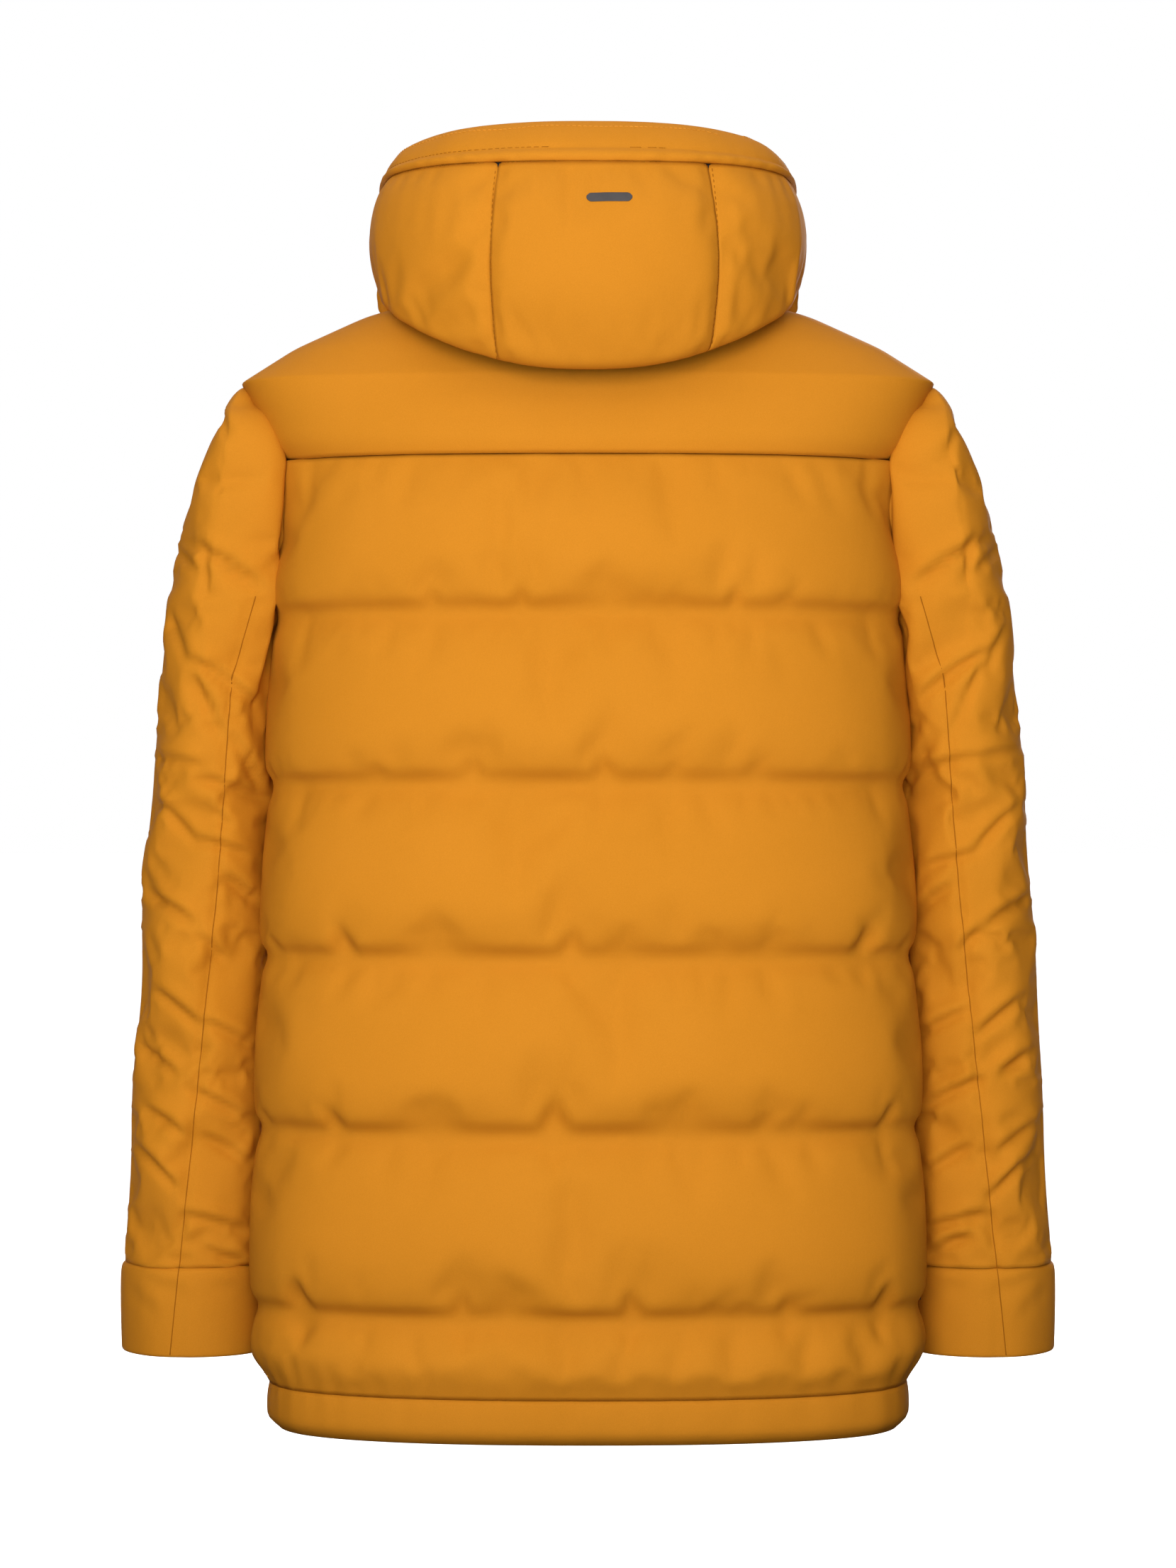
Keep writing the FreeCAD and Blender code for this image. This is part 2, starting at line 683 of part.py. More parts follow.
def make_slider(name, frame, height):
    """Slider with its plate, two flanges round the chain, two lugs and the cross pin, and its pull."""
    width, long = size("slider_width") / 2, size("slider_length") / 2
    clear, plate = size("slider_clearance"), size("slider_plate")
    face = -clear - plate
    body = box(-width, width, face, -clear, -long, long)
    for side in (1, -1):
        inner, outer = side * size("flange_inner"), side * width
        flange = box(min(inner, outer), max(inner, outer), -clear,
                     size("chain_thickness") - size("skin"), -long, long)
        lug_in, lug_out = side * size("lug_inner"), side * size("lug_outer")
        lug = box(min(lug_in, lug_out), max(lug_in, lug_out), face - size("lug_rise"), face,
                  -size("lug_length") / 2, size("lug_length") / 2)
        body = body.fuse(flange).fuse(lug)
    pin_y = face - size("pin_rise")
    pin_start = Vector(-size("lug_outer"), pin_y, 0)
    pin = Part.makeCylinder(size("pin_radius"), 2 * size("lug_outer"), pin_start, Vector(1, 0, 0))
    body = body.fuse(pin).removeSplitter()
    at_height = Placement(Vector(0, 0, height), Rotation())
    add_feature(name + "_slider", body, frame.multiply(at_height))
    make_pull(name + "_pull", frame.multiply(Placement(Vector(0, pin_y, height), Rotation())))


def origin_plane(body, role):
    return [item for item in body.Origin.OriginFeatures if item.Role == role][0]


def new_sketch(body, name, role):
    sketch = body.newObject("Sketcher::SketchObject", name)
    sketch.AttachmentSupport = [(origin_plane(body, role), "")]
    sketch.MapMode = "FlatFace"
    return sketch


def add_pad(body, sketch, length_cell):
    pad = body.newObject("PartDesign::Pad", "Pad_" + sketch.Name)
    pad.Profile = sketch
    pad.SideType = "Symmetric"
    bind(pad, Length=cell(length_cell))
    sketch.Visibility = False
    return pad


def make_pull(name, placement):
    """Flat zip pull: a tab on a narrow neck, and a boss bored for the slider's pin."""
    body = doc.addObject("PartDesign::Body", name)
    body.Label = name
    tab = new_sketch(body, name + "_tab", "XZ_Plane")
    neck, wide = size("pull_neck") / 2, size("pull_width") / 2
    turn, end = -size("pull_neck_length"), -size("pull_length")
    corners = [(-neck, 0), (-neck, turn), (-wide, turn), (-wide, end), (wide, end), (wide, turn),
               (neck, turn), (neck, 0)]
    for start, stop in zip(corners, corners[1:] + corners[:1]):
        tab.addGeometry(Part.LineSegment(Vector(*start, 0), Vector(*stop, 0)))
    for number in range(len(corners)):
        tab.addConstraint(Sketcher.Constraint("Coincident", number, 2, (number + 1) % len(corners), 1))
    for number in range(len(corners)):
        kind = "Vertical" if number % 2 == 0 else "Horizontal"
        tab.addConstraint(Sketcher.Constraint(kind, number))
    dimensions = [("DistanceX", 0, 1, -neck, "-{pull_neck} / 2"), ("DistanceY", 0, 1, 0.0, None),
                  ("DistanceY", 0, 2, turn, "-{pull_neck_length}"),
                  ("DistanceX", 2, 1, -wide, "-{pull_width} / 2"),
                  ("DistanceY", 2, 2, end, "-{pull_length}"),
                  ("DistanceX", 4, 1, wide, "{pull_width} / 2"),
                  ("DistanceY", 4, 2, turn, "-{pull_neck_length}"),
                  ("DistanceX", 6, 1, neck, "{pull_neck} / 2")]
    for kind, line, point, value, expression in dimensions:
        index = tab.addConstraint(Sketcher.Constraint(kind, -1, 1, line, point, value))
        if expression:
            tab.setExpression("Constraints[%d]" % index, cell(expression))
    add_pad(body, tab, "{pull_thickness}")
    boss = new_sketch(body, name + "_boss", "YZ_Plane")
    boss.addGeometry(Part.Circle(Vector(0, 0, 0), Vector(0, 0, 1), size("pull_boss")))
    boss.addConstraint(Sketcher.Constraint("Coincident", 0, 3, -1, 1))
    index = boss.addConstraint(Sketcher.Constraint("Radius", 0, size("pull_boss")))
    boss.setExpression("Constraints[%d]" % index, cell("{pull_boss}"))
    add_pad(body, boss, "{pull_boss_length}")
    bore = new_sketch(body, name + "_bore", "YZ_Plane")
    bore.addGeometry(Part.Circle(Vector(0, 0, 0), Vector(0, 0, 1), size("pull_bore")))
    bore.addConstraint(Sketcher.Constraint("Coincident", 0, 3, -1, 1))
    index = bore.addConstraint(Sketcher.Constraint("Radius", 0, size("pull_bore")))
    bore.setExpression("Constraints[%d]" % index, cell("{pull_bore}"))
    doc.recompute()
    solid_before = body.Shape.Volume
    pocket = body.newObject("PartDesign::Pocket", "Bore_" + name)
    pocket.Profile = bore
    pocket.SideType = "Symmetric"
    bind(pocket, Length=cell("{pull_width}"))
    doc.recompute()
    if not body.Shape.Volume < solid_before:
        raise ValueError(name + ": the bore cuts nothing")
    body.Placement = TO_ORIGIN.multiply(placement)
    nodes.append(body)


def make_pocket_zips():
    length = pocket_zip_length()
    for name, side in SIDES.items():
        frame = pocket_zip_frame(side)
        add_feature("%s_pocket_zip_chain" % name, zip_chain(length), frame)
        reach, end, slit = size("tape_half_width"), size("tape_end"), size("tape_slit")
        low, high = size("tape_depth"), size("tape_depth") + size("tape_thickness")
        tape = box(-reach, reach, low, high, -end, length + end)
        tape = tape.cut(box(-slit, slit, 0, high + OVERRUN, 0, length))
        add_feature("%s_pocket_zip_tape" % name, tape, frame)
        make_slider("%s_pocket_zip" % name, frame, length - size("slider_length"))
        bag = body_wall(size("bag_depth"), size("bag_end"))
        edges = sorted((side * size("bag_inner"), side * size("bag_outer")))
        foot, head = size("pocket_bottom") - size("bag_below"), size("pocket_top") + size("bag_above")
        add_feature("%s_pocket_bag" % name, bag.common(box(edges[0], edges[1], -FAR, 0, foot, head)))


# ---------------------------------------------------------------- build, check, export

def check_and_export():
    doc.recompute()
    for item in doc.Objects:
        if "Invalid" in item.State or "Error" in item.State:
            raise ValueError("%s is %s" % (item.Label, item.State))
    for node in nodes:
        shape = node.Shape
        if shape.isNull() or not shape.isValid() or not shape.Solids:
            raise ValueError(node.Label + " has no valid solid")
        print("%-28s solids %2d volume %9.0f" % (node.Label, len(shape.Solids), shape.Volume))
        shape.exportStep("parts/%s.step" % node.Label)
    print(len(nodes), "nodes, hanger height", HANGER_HEIGHT)


make_body_shells()
make_body_fill()
make_body_lining()
make_hem()
make_collar()
make_hanger_loop()
make_side_rivet()
make_sleeves()
make_hood()
make_hood_eyelets()
make_front_zip()
make_pocket_zips()
check_and_export()
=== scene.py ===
"""Looks of the hooded quilted jacket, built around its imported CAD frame.

Metres, +Z up. The front faces -Y and the wearer's left is +X. Heights are measured up from the hem,
and every outline is the same family of superellipses that the frame was made with.
"""

import math

import bmesh
import bpy
import numpy as np
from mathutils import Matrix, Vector
from mathutils.bvhtree import BVHTree


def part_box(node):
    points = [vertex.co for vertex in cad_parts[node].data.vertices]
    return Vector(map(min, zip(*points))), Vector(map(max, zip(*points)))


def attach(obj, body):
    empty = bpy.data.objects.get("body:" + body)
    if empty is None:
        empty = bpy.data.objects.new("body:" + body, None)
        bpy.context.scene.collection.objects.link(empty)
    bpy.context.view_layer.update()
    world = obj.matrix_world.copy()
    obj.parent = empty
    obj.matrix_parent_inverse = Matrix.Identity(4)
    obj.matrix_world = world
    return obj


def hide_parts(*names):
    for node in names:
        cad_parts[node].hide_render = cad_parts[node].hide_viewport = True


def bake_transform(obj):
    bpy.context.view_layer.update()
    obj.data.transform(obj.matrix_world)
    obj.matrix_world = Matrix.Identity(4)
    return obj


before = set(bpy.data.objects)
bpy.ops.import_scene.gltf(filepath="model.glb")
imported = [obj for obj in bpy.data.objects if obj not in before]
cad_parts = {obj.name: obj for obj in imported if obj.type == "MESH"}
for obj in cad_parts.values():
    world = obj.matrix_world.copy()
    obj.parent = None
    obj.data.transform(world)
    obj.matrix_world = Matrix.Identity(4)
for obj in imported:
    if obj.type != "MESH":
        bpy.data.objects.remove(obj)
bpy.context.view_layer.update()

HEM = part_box("hem_band")[0].z
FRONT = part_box("hem_band")[0].y
FRONT_DEPTH = 0.141               # the front of the hem lies this far before the outlines' own Y zero
ZERO_Y = FRONT + FRONT_DEPTH
FRONT_LEAN = 0.0506               # the centre front leans back by this much per metre of height
WIDEST_Y = 0.020                  # the body is widest this far behind the Y zero
SQUARENESS = 2.4
SLEEVE_SQUARENESS = 2.2
PRESSED = 0.003                   # how far the sleeve's inner side is tucked behind the body's edge
FRONT_GAP = 0.0065                # half of the gap that the front zip fills
STEP = 0.0060

HEM_TOP = 0.034
YOKE_SEAM = 0.657
SHOULDER = 0.712                  # the shoulder line starts to slope in to the neck here
NECK = 0.770                      # and ends at the neck seam
BAFFLES = [0.082, 0.204, 0.321, 0.437, 0.551]
SEAM_HALF = 0.0035                # half the width of a bonded seam
SEAM_DEPTH = 0.007                # how deep a bonded seam lies
CHAMBER_LEAN = 0.52               # a chamber is fullest below its middle: 1 would put that at the middle
CUFF_TOP = 0.105
SLEEVE_SEAMS = [0.223, 0.348, 0.467, 0.575]

SIDES = {"left": 1, "right": -1}
ARMHOLE_Y, ARMHOLE_HEIGHT, ARMHOLE_RISE, ARMHOLE_DEPTH = 0.005, 0.628, 0.048, 0.042
GUSSET_START, GUSSET_TURN, GUSSET_SLOPE = 0.206, 0.0148, 0.128   # the start, reach and slope of the two points given with the gusset's blend
GUSSET_TUCK = 0.018               # how far the gusset reaches into the sleeve
GUSSET_INSIDE = 0.007             # and how far into the body
GUSSET_HEIGHT, GUSSET_RISE, GUSSET_DEPTH, GUSSET_DIP = 0.632, 0.056, 0.047, 0.002
SLOT_HALF = 0.0065                # half of a pocket mouth's width
LINING_LOW, LINING_INSET = 0.020, 0.0185
COLLAR_FULL, COLLAR_WALL = 0.004, 0.012
COLLAR_HIDDEN, COLLAR_ROUND = 0.004, 0.006   # how far it reaches below the neck seam, and its rounded top
FACING_DEPTH = 0.016
LINING_WALL = 0.0006              # thickness of the thin lining cloth
BAG_INSET = 0.0205                # how deep the pocket bags lie
SLEEVE_SEAM_DEPTH, SLEEVE_LINING = 0.0018, 0.0148
CUFF_LOW = 0.043
RIB_LOW, RIB_HIGH, RIB_DEPTH, RIB_COUNT = 0.050, 0.098, 0.0075, 60
HOOD_FRONT, HOOD_FRONT_DEPTH = 0.060, 0.200
HOOD_SEAM_LEFT, HOOD_SEAM_RIGHT = 0.063, 0.084
HOOD_BOTTOM, HOOD_RADIUS, HOOD_RIM, HOOD_SLOPE = 0.768, 0.205, 0.860, 0.155
HOOD_SIDE_IN = 0.0042             # the hood's sides are drawn in by its elastic
HOOD_CHANNEL, HOOD_FULL, HOOD_WALL = 0.80, 0.004, 0.0085

# height, half width, back of the outline
BODY = [(0.000, .222, .126), (0.034, .224, .129), (0.082, .226, .131), (0.204, .224, .133),
        (0.321, .220, .134), (0.437, .216, .134), (0.551, .213, .133), (0.657, .214, .127),
        (0.690, .226, .118), (0.712, .236, .108), (0.735, .200, .093), (0.757, .152, .078),
        (0.770, .105, .072)]
YOKE = BODY[7:]
COLLAR = [(0.770, .105, .072), (0.808, .101, .069), (0.845, .097, .064)]
# height, half width, back, for the outside of the lowered hood
HOOD = [(0.690, .136, .130), (0.735, .143, .150), (0.764, .147, .157), (0.808, .150, .153),
        (0.845, .148, .140), (0.885, .142, .120)]
# height, inner edge, outer edge, centre in Y, half depth, for the left sleeve
SLEEVE = [(0.040, .2235, .327, -.045, .058), (0.105, .2235, .327, -.043, .060),
          (0.223, .2215, .320, -.038, .064), (0.348, .2195, .313, -.032, .068),
          (0.467, .2175, .303, -.024, .073), (0.575, .216, .290, -.014, .078),
          (0.640, .217, .273, -.006, .076), (0.690, .229, .252, .002, .052),
          (0.706, .236, .245, .006, .026)]


# ---------------------------------------------------------------- camera, light and stage

def make_camera():
    """Looks straight at the back, from the height of the jacket's middle."""
    distance, picture_height = 2.8, 1.084
    data = bpy.data.cameras.new("camera")
    data.sensor_fit = "VERTICAL"
    data.sensor_height = 36
    data.lens = 36 * distance / picture_height
    camera = bpy.data.objects.new("camera", data)
    bpy.context.scene.collection.objects.link(camera)
    camera.location = (0, ZERO_Y + distance, HEM + 0.438)
    camera.rotation_euler = (math.radians(90), 0, math.radians(180))
    bpy.context.scene.camera = camera


def make_lights():
    """White surroundings, a key lamp behind the jacket and one before it, and dark flags below and beside."""
    world = bpy.data.worlds.new("studio")
    bpy.context.scene.world = world
    world.use_nodes = True
    sky = world.node_tree.nodes["Background"]
    sky.inputs["Color"].default_value = (1, 1, 1, 1)
    sky.inputs["Strength"].default_value = 1.0
    bpy.context.scene.view_settings.view_transform = "Standard"
    # name, place, size, power
    lamps = [("back_key", (.45, 3.6, 0.7), 1.8, 96), ("front_key", (-.45, -3.6, 0.7), 1.8, 96)]
    target = Vector((0, ZERO_Y, HEM + 0.45))
    for name, place, width, power in lamps:
        data = bpy.data.lights.new(name, "AREA")
        data.size = width
        data.energy = power
        lamp = bpy.data.objects.new(name, data)
        bpy.context.scene.collection.objects.link(lamp)
        lamp.location = target + Vector(place)
        lamp.rotation_euler = (target - lamp.location).to_track_quat("-Z", "Y").to_euler()
    black = simple_material("flag_cloth", (0.02, 0.02, 0.02), 0.9)
    # name, centre, half width, half height, upright
    flags = [("flag_left", (1.0, 0, .1), 1.1, .9, True), ("flag_right", (-1.0, 0, .1), 1.1, .9, True),
             ("flag_below", (0, 0, -.53), .50, .46, False)]
    for name, centre, half_width, half_height, upright in flags:
        corners = [(-half_width, -half_height), (half_width, -half_height),
                   (half_width, half_height), (-half_width, half_height)]
        points = [(0, a, b) if upright else (a, b, 0) for a, b in corners]
        flag = mesh_object(name, points, [(0, 1, 2, 3)])
        flag.location = target + Vector(centre)
        flag.visible_camera = False
        paint(flag, black)


def make_floor():
    """A wide white floor below the hanging jacket."""
    half, drop = 40.0, 0.30
    floor = mesh_object("floor", [(-half, -half, 0), (half, -half, 0), (half, half, 0), (-half, half, 0)],
                        [(0, 1, 2, 3)])
    floor.location = (0, 0, HEM - drop)
    floor_paint = simple_material("floor_paint", (0.90, 0.90, 0.90), 0.9, spread=0.01)
    glow = floor_paint.node_tree.nodes["Principled BSDF"].inputs
    glow["Emission Color"].default_value = (1, 1, 1, 1)
    glow["Emission Strength"].default_value = 0.16
    paint(floor, floor_paint)


# ---------------------------------------------------------------- materials

WEAVE_DEPTH = 0.00012
GRAIN, GRAIN_DEPTH = 90.0, 0.00008


def new_material(name):
    """A new node material, with its nodes, links and main shader."""
    material = bpy.data.materials.new(name)
    material.use_nodes = True
    nodes = material.node_tree.nodes
    return material, nodes, material.node_tree.links, nodes["Principled BSDF"]


def noise_node(nodes, links, coords, scale, detail, stretch=None):
    """Cloudy noise, finer with a larger scale."""
    node = nodes.new("ShaderNodeTexNoise")
    node.inputs["Scale"].default_value = scale
    node.inputs["Detail"].default_value = detail
    if stretch:
        mapping = nodes.new("ShaderNodeMapping")
        mapping.inputs["Scale"].default_value = stretch
        links.new(coords, mapping.inputs["Vector"])
        coords = mapping.outputs["Vector"]
    links.new(coords, node.inputs["Vector"])
    return node.outputs["Fac"]


def mixed_colour(nodes, links, low, high, factor):
    """Colour between two others, by a factor from 0 to 1."""
    ramp = nodes.new("ShaderNodeValToRGB")
    ramp.color_ramp.elements[0].position = 0.3
    ramp.color_ramp.elements[1].position = 0.7
    ramp.color_ramp.elements[0].color = (*low, 1)
    ramp.color_ramp.elements[1].color = (*high, 1)
    links.new(factor, ramp.inputs["Fac"])
    return ramp.outputs["Color"]


def add_bump(nodes, links, shader, height, distance, strength, below=None):
    """Fine relief on a shader, over the relief below it if there is one."""
    bump = nodes.new("ShaderNodeBump")
    bump.inputs["Strength"].default_value = strength
    bump.inputs["Distance"].default_value = distance
    links.new(height, bump.inputs["Height"])
    if below is not None:
        links.new(below, bump.inputs["Normal"])
    links.new(bump.outputs["Normal"], shader.inputs["Normal"])
    return bump.outputs["Normal"]


def wave_node(nodes, links, coords, axis, scale, distortion=0.0):
    """Straight bands across one axis."""
    node = nodes.new("ShaderNodeTexWave")
    node.bands_direction = axis
    node.inputs["Scale"].default_value = scale
    node.inputs["Distortion"].default_value = distortion
    links.new(coords, node.inputs["Vector"])
    return node.outputs["Fac"]


def math_node(nodes, links, operation, *values):
    """A sum or product of outputs and plain numbers."""
    node = nodes.new("ShaderNodeMath")
    node.operation = operation
    for socket, value in zip(node.inputs, values):
        if isinstance(value, float):
            socket.default_value = value
        else:
            links.new(value, socket)
    return node.outputs["Value"]


def fabric_material(name, dark, light, roughness=0.72, sheen=0.05, weave=900.0):
    """Tight plain weave: crossed threads, uneven dye and a soft slub."""
    material, nodes, links, shader = new_material(name)
    coords = nodes.new("ShaderNodeTexCoord").outputs["Object"]
    broad = noise_node(nodes, links, coords, 14.0, 4.0)
    fine = noise_node(nodes, links, coords, 1400.0, 2.0)
    faded = math_node(nodes, links, "MULTIPLY", broad, 0.35)
    tone = math_node(nodes, links, "MULTIPLY_ADD", fine, 0.65, faded)
    links.new(mixed_colour(nodes, links, dark, light, tone), shader.inputs["Base Color"])
    across = wave_node(nodes, links, coords, "X", weave, 0.6)
    along = wave_node(nodes, links, coords, "Z", weave, 0.6)
    crossed = math_node(nodes, links, "MULTIPLY", across, along)
    threads = add_bump(nodes, links, shader, crossed, WEAVE_DEPTH, 0.6)
    slub = noise_node(nodes, links, coords, 260.0, 3.0, (1, 1, 0.35))
    add_bump(nodes, links, shader, slub, WEAVE_DEPTH * 1.6, 0.5, threads)
    shader.inputs["Roughness"].default_value = roughness
    shader.inputs["Specular IOR Level"].default_value = 0.07
    shader.inputs["Sheen Weight"].default_value = sheen
    shader.inputs["Sheen Roughness"].default_value = 0.5
    shader.inputs["Sheen Tint"].default_value = (*light, 1)
    return material


def simple_material(name, colour, roughness, metallic=0.0, spread=0.12, gloss=0.3):
    """Plastic, metal, cord or paint with uneven tone and a fine grain."""
    material, nodes, links, shader = new_material(name)
    coords = nodes.new("ShaderNodeTexCoord").outputs["Object"]
    tone = noise_node(nodes, links, coords, GRAIN, 4.0)
    low = tuple(c * (1 - spread) for c in colour)
    high = tuple(min(1.0, c * (1 + spread)) for c in colour)
    links.new(mixed_colour(nodes, links, low, high, tone), shader.inputs["Base Color"])
    add_bump(nodes, links, shader, noise_node(nodes, links, coords, GRAIN * 12, 2.0), GRAIN_DEPTH, 0.4)
    shader.inputs["Roughness"].default_value = roughness
    shader.inputs["Metallic"].default_value = metallic
    shader.inputs["Specular IOR Level"].default_value = gloss
    return material


def rib_material(name, dark, light):
    """Ribbed knit: ridges round the wrist in the sleeve's own direction, with painted shade in the grooves
    and a painted highlight on the ridges.
    """
    material, nodes, links, shader = new_material(name)
    coords = nodes.new("ShaderNodeTexCoord").outputs["Object"]
    ribs = wave_node(nodes, links, coords, "X", 160.0)
    # the colour follows the same rib waves as the relief: painted shade in each groove, painted highlight on
    # each ridge
    links.new(mixed_colour(nodes, links, dark, light, ribs), shader.inputs["Base Color"])
    knit = noise_node(nodes, links, coords, 700.0, 2.0)
    below = add_bump(nodes, links, shader, ribs, 0.0006, 0.8)
    add_bump(nodes, links, shader, knit, 0.0002, 0.5, below)
    shader.inputs["Roughness"].default_value = 0.85
    shader.inputs["Sheen Weight"].default_value = 0.3
    return material


# ---------------------------------------------------------------- outlines

def table_at(rows, height):
    """Smooth (Hermite) reading of a section table at one height."""
    rows = np.asarray(rows, float)
    heights = rows[:, 0]
    values = rows[:, 1:]
    slopes = np.gradient(values, heights, axis=0)
    height = float(np.clip(height, heights[0], heights[-1]))
    low = int(np.clip(np.searchsorted(heights, height) - 1, 0, len(heights) - 2))
    span = heights[low + 1] - heights[low]
    t = (height - heights[low]) / span
    h00, h10 = 2 * t**3 - 3 * t**2 + 1, t**3 - 2 * t**2 + t
    h01, h11 = -2 * t**3 + 3 * t**2, t**3 - t**2
    return h00 * values[low] + h10 * span * slopes[low] + h01 * values[low + 1] + h11 * span * slopes[low + 1]


def front_y(height):
    """Y of the centre front, which leans back with height."""
    return -FRONT_DEPTH + FRONT_LEAN * height


def signed_power(value, power):
    """Power of the size of a value, with its sign kept."""
    return np.sign(value) * np.abs(value) ** power


def distance_along(path):
    """Length of a path of points up to each of them."""
    return np.concatenate([[0], np.cumsum(np.linalg.norm(np.diff(path, axis=0), axis=1))])


def arc_points(half_width, wide_y, front, back, power, start, stop, count, centre_x=0.0):
    """Points evenly spaced along part of a superellipse, from angle start to stop."""
    angles = np.linspace(start, stop, 400)
    across = centre_x + half_width * signed_power(np.cos(angles), 2 / power)
    depth = np.where(np.sin(angles) > 0, back, front)
    along = wide_y + depth * signed_power(np.sin(angles), 2 / power)
    path = np.stack([across, along], 1)
    length = distance_along(path)
    even = np.linspace(0, length[-1], count)
    return np.stack([np.interp(even, length, path[:, 0]), np.interp(even, length, path[:, 1])], 1)


def trunk_row(half_width, front, back):
    """One open row round the body, from the centre front round the wearer's left, back and right."""
    depth = WIDEST_Y - front
    edge = math.asin((1 - (FRONT_GAP / half_width) ** SQUARENESS) ** 0.5)
    left = arc_points(half_width, WIDEST_Y, depth, back - WIDEST_Y, SQUARENESS, -edge, 0, FRONT_COLUMNS)
    rear = arc_points(half_width, WIDEST_Y, depth, back - WIDEST_Y, SQUARENESS, 0, math.pi, BACK_COLUMNS)
    right = left[::-1] * np.array([-1, 1])
    return np.concatenate([left[:-1], rear, right[1:]])


def place(points, height):
    """Adds the height to plan points and moves them into the row frame."""
    points = np.asarray(points, float)
    heights = np.broadcast_to(np.asarray(height, float), len(points))
    return np.stack([points[:, 0], points[:, 1] + ZERO_Y, heights + HEM], 1)


def zone_heights(stops, seam_half, step):
    """Heights of the rows between stops, with two close rows at each inner stop."""
    heights, pinned = [], []
    for low, high in zip(stops, stops[1:]):
        start = low + (seam_half if low != stops[0] else 0)
        end = high - (seam_half if high != stops[-1] else 0)
        count = max(2, round((end - start) / step))
        for number in range(count + 1):
            heights.append(start + (end - start) * number / count)
            pinned.append(number in (0, count))
    return np.array(heights), np.array(pinned)


def plump(height, stops, amount):
    """Fullness of a chamber at a height: none at its seams and most well below its middle."""
    for low, high in zip(stops, stops[1:]):
        if low <= height <= high:
            share = (height - low) / (high - low)
            return amount * math.sin(math.pi * share**CHAMBER_LEAN)
    return 0.0


# ---------------------------------------------------------------- meshes

CLOTH_FRAMES = 20


def mesh_object(name, points, faces):
    """A new piece in the scene, made of points and faces."""
    mesh = bpy.data.meshes.new(name)
    mesh.from_pydata([tuple(p) for p in points], [], faces)
    mesh.validate()
    mesh.update()
    made = bpy.data.objects.new(name, mesh)
    bpy.context.scene.collection.objects.link(made)
    return made


def grid_faces(rows, columns, closed):
    """Four-sided faces between the points of a grid."""
    faces = []
    for row in range(rows - 1):
        for column in range(columns if closed else columns - 1):
            beside = (column + 1) % columns
            faces.append((row * columns + column, row * columns + beside,
                          (row + 1) * columns + beside, (row + 1) * columns + column))
    return faces


def grid_part(name, grid, closed=False):
    """A piece made of a grid of points. A closed one joins its last column to its first."""
    rows, columns = grid.shape[:2]
    return mesh_object(name, grid.reshape(-1, 3), grid_faces(rows, columns, closed))


def inflate(grid, pinned, closed, pressure, excess, cap, bending):
    """Cloth simulation of a grid of points under air pressure, with the pinned ones held.

    excess is how much larger the cloth is cut than its space, and cap is how far a point may move.
    """
    made = grid_part("cloth_tmp", grid, closed)
    group = made.vertex_groups.new(name="held")
    weights = pinned.reshape(-1).astype(float)
    for value in np.unique(weights):
        if value > 0:
            group.add([int(i) for i in np.nonzero(weights == value)[0]], float(value), "REPLACE")
    cloth = made.modifiers.new("Cloth", "CLOTH")
    settings = cloth.settings
    settings.quality = 5
    settings.mass = 0.25
    settings.tension_stiffness = 20
    settings.compression_stiffness = 20
    settings.shear_stiffness = 8
    settings.bending_stiffness = bending
    settings.tension_damping = 8
    settings.vertex_group_mass = "held"
    settings.pin_stiffness = 1.0
    settings.use_pressure = True
    settings.uniform_pressure_force = pressure
    settings.shrink_min = -excess
    settings.effector_weights.gravity = 0
    cloth.collision_settings.use_collision = False
    cloth.point_cache.frame_start = 1
    cloth.point_cache.frame_end = CLOTH_FRAMES
    scene = bpy.context.scene
    for number in range(1, CLOTH_FRAMES + 1):
        scene.frame_set(number)
    evaluated = made.evaluated_get(bpy.context.evaluated_depsgraph_get())
    found = np.empty(len(evaluated.data.vertices) * 3)
    evaluated.data.vertices.foreach_get("co", found)
    moved = found.reshape(grid.shape) - grid
    distance = np.linalg.norm(moved, axis=2, keepdims=True)
    moved *= cap * np.tanh(distance / cap) / np.maximum(distance, 1e-9)
    bpy.data.objects.remove(made)
    scene.frame_set(1)
    return grid + moved


def finish_piece(piece, finish, body, replaced=(), levels=1, thickness=0.0012, blend=None,
                 holes=()):
    """Subdivides, thickens and paints a piece, and ties it to the frame; a piece given a blend is left untied
    where it is.
    """
    if levels:
        subdivision = piece.modifiers.new("Subdivision", "SUBSURF")
        subdivision.levels = levels
        subdivision.render_levels = levels
    if thickness:
        wall = piece.modifiers.new("Wall", "SOLIDIFY")
        wall.thickness = thickness
        wall.offset = -1
    bake_modifiers(piece)
    for hole in holes:
        hole(piece)
    paint(piece, MATERIALS[finish])
    smooth(piece)
    if replaced:
        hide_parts(*replaced)
    if blend:
        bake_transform(piece)
    else:
        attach(piece, body)


def paint(piece, material):
    """Gives a piece one material in place of any it had."""
    piece.data.materials.clear()
    piece.data.materials.append(material)


def smooth(piece):
    """Shades a piece smoothly."""
    for polygon in piece.data.polygons:
        polygon.use_smooth = True


def bake_modifiers(piece):
    """Replaces the mesh by its evaluated shape, so that no modifier is left."""
    evaluated = piece.evaluated_get(bpy.context.evaluated_depsgraph_get())
    mesh = bpy.data.meshes.new_from_object(evaluated)
    piece.modifiers.clear()
    piece.data = mesh


def tree_of(piece):
    """Search tree of a piece's faces, for finding places on its surface."""
    corners = [vertex.co.copy() for vertex in piece.data.vertices]
    return BVHTree.FromPolygons(corners, [tuple(polygon.vertices) for polygon in piece.data.polygons])


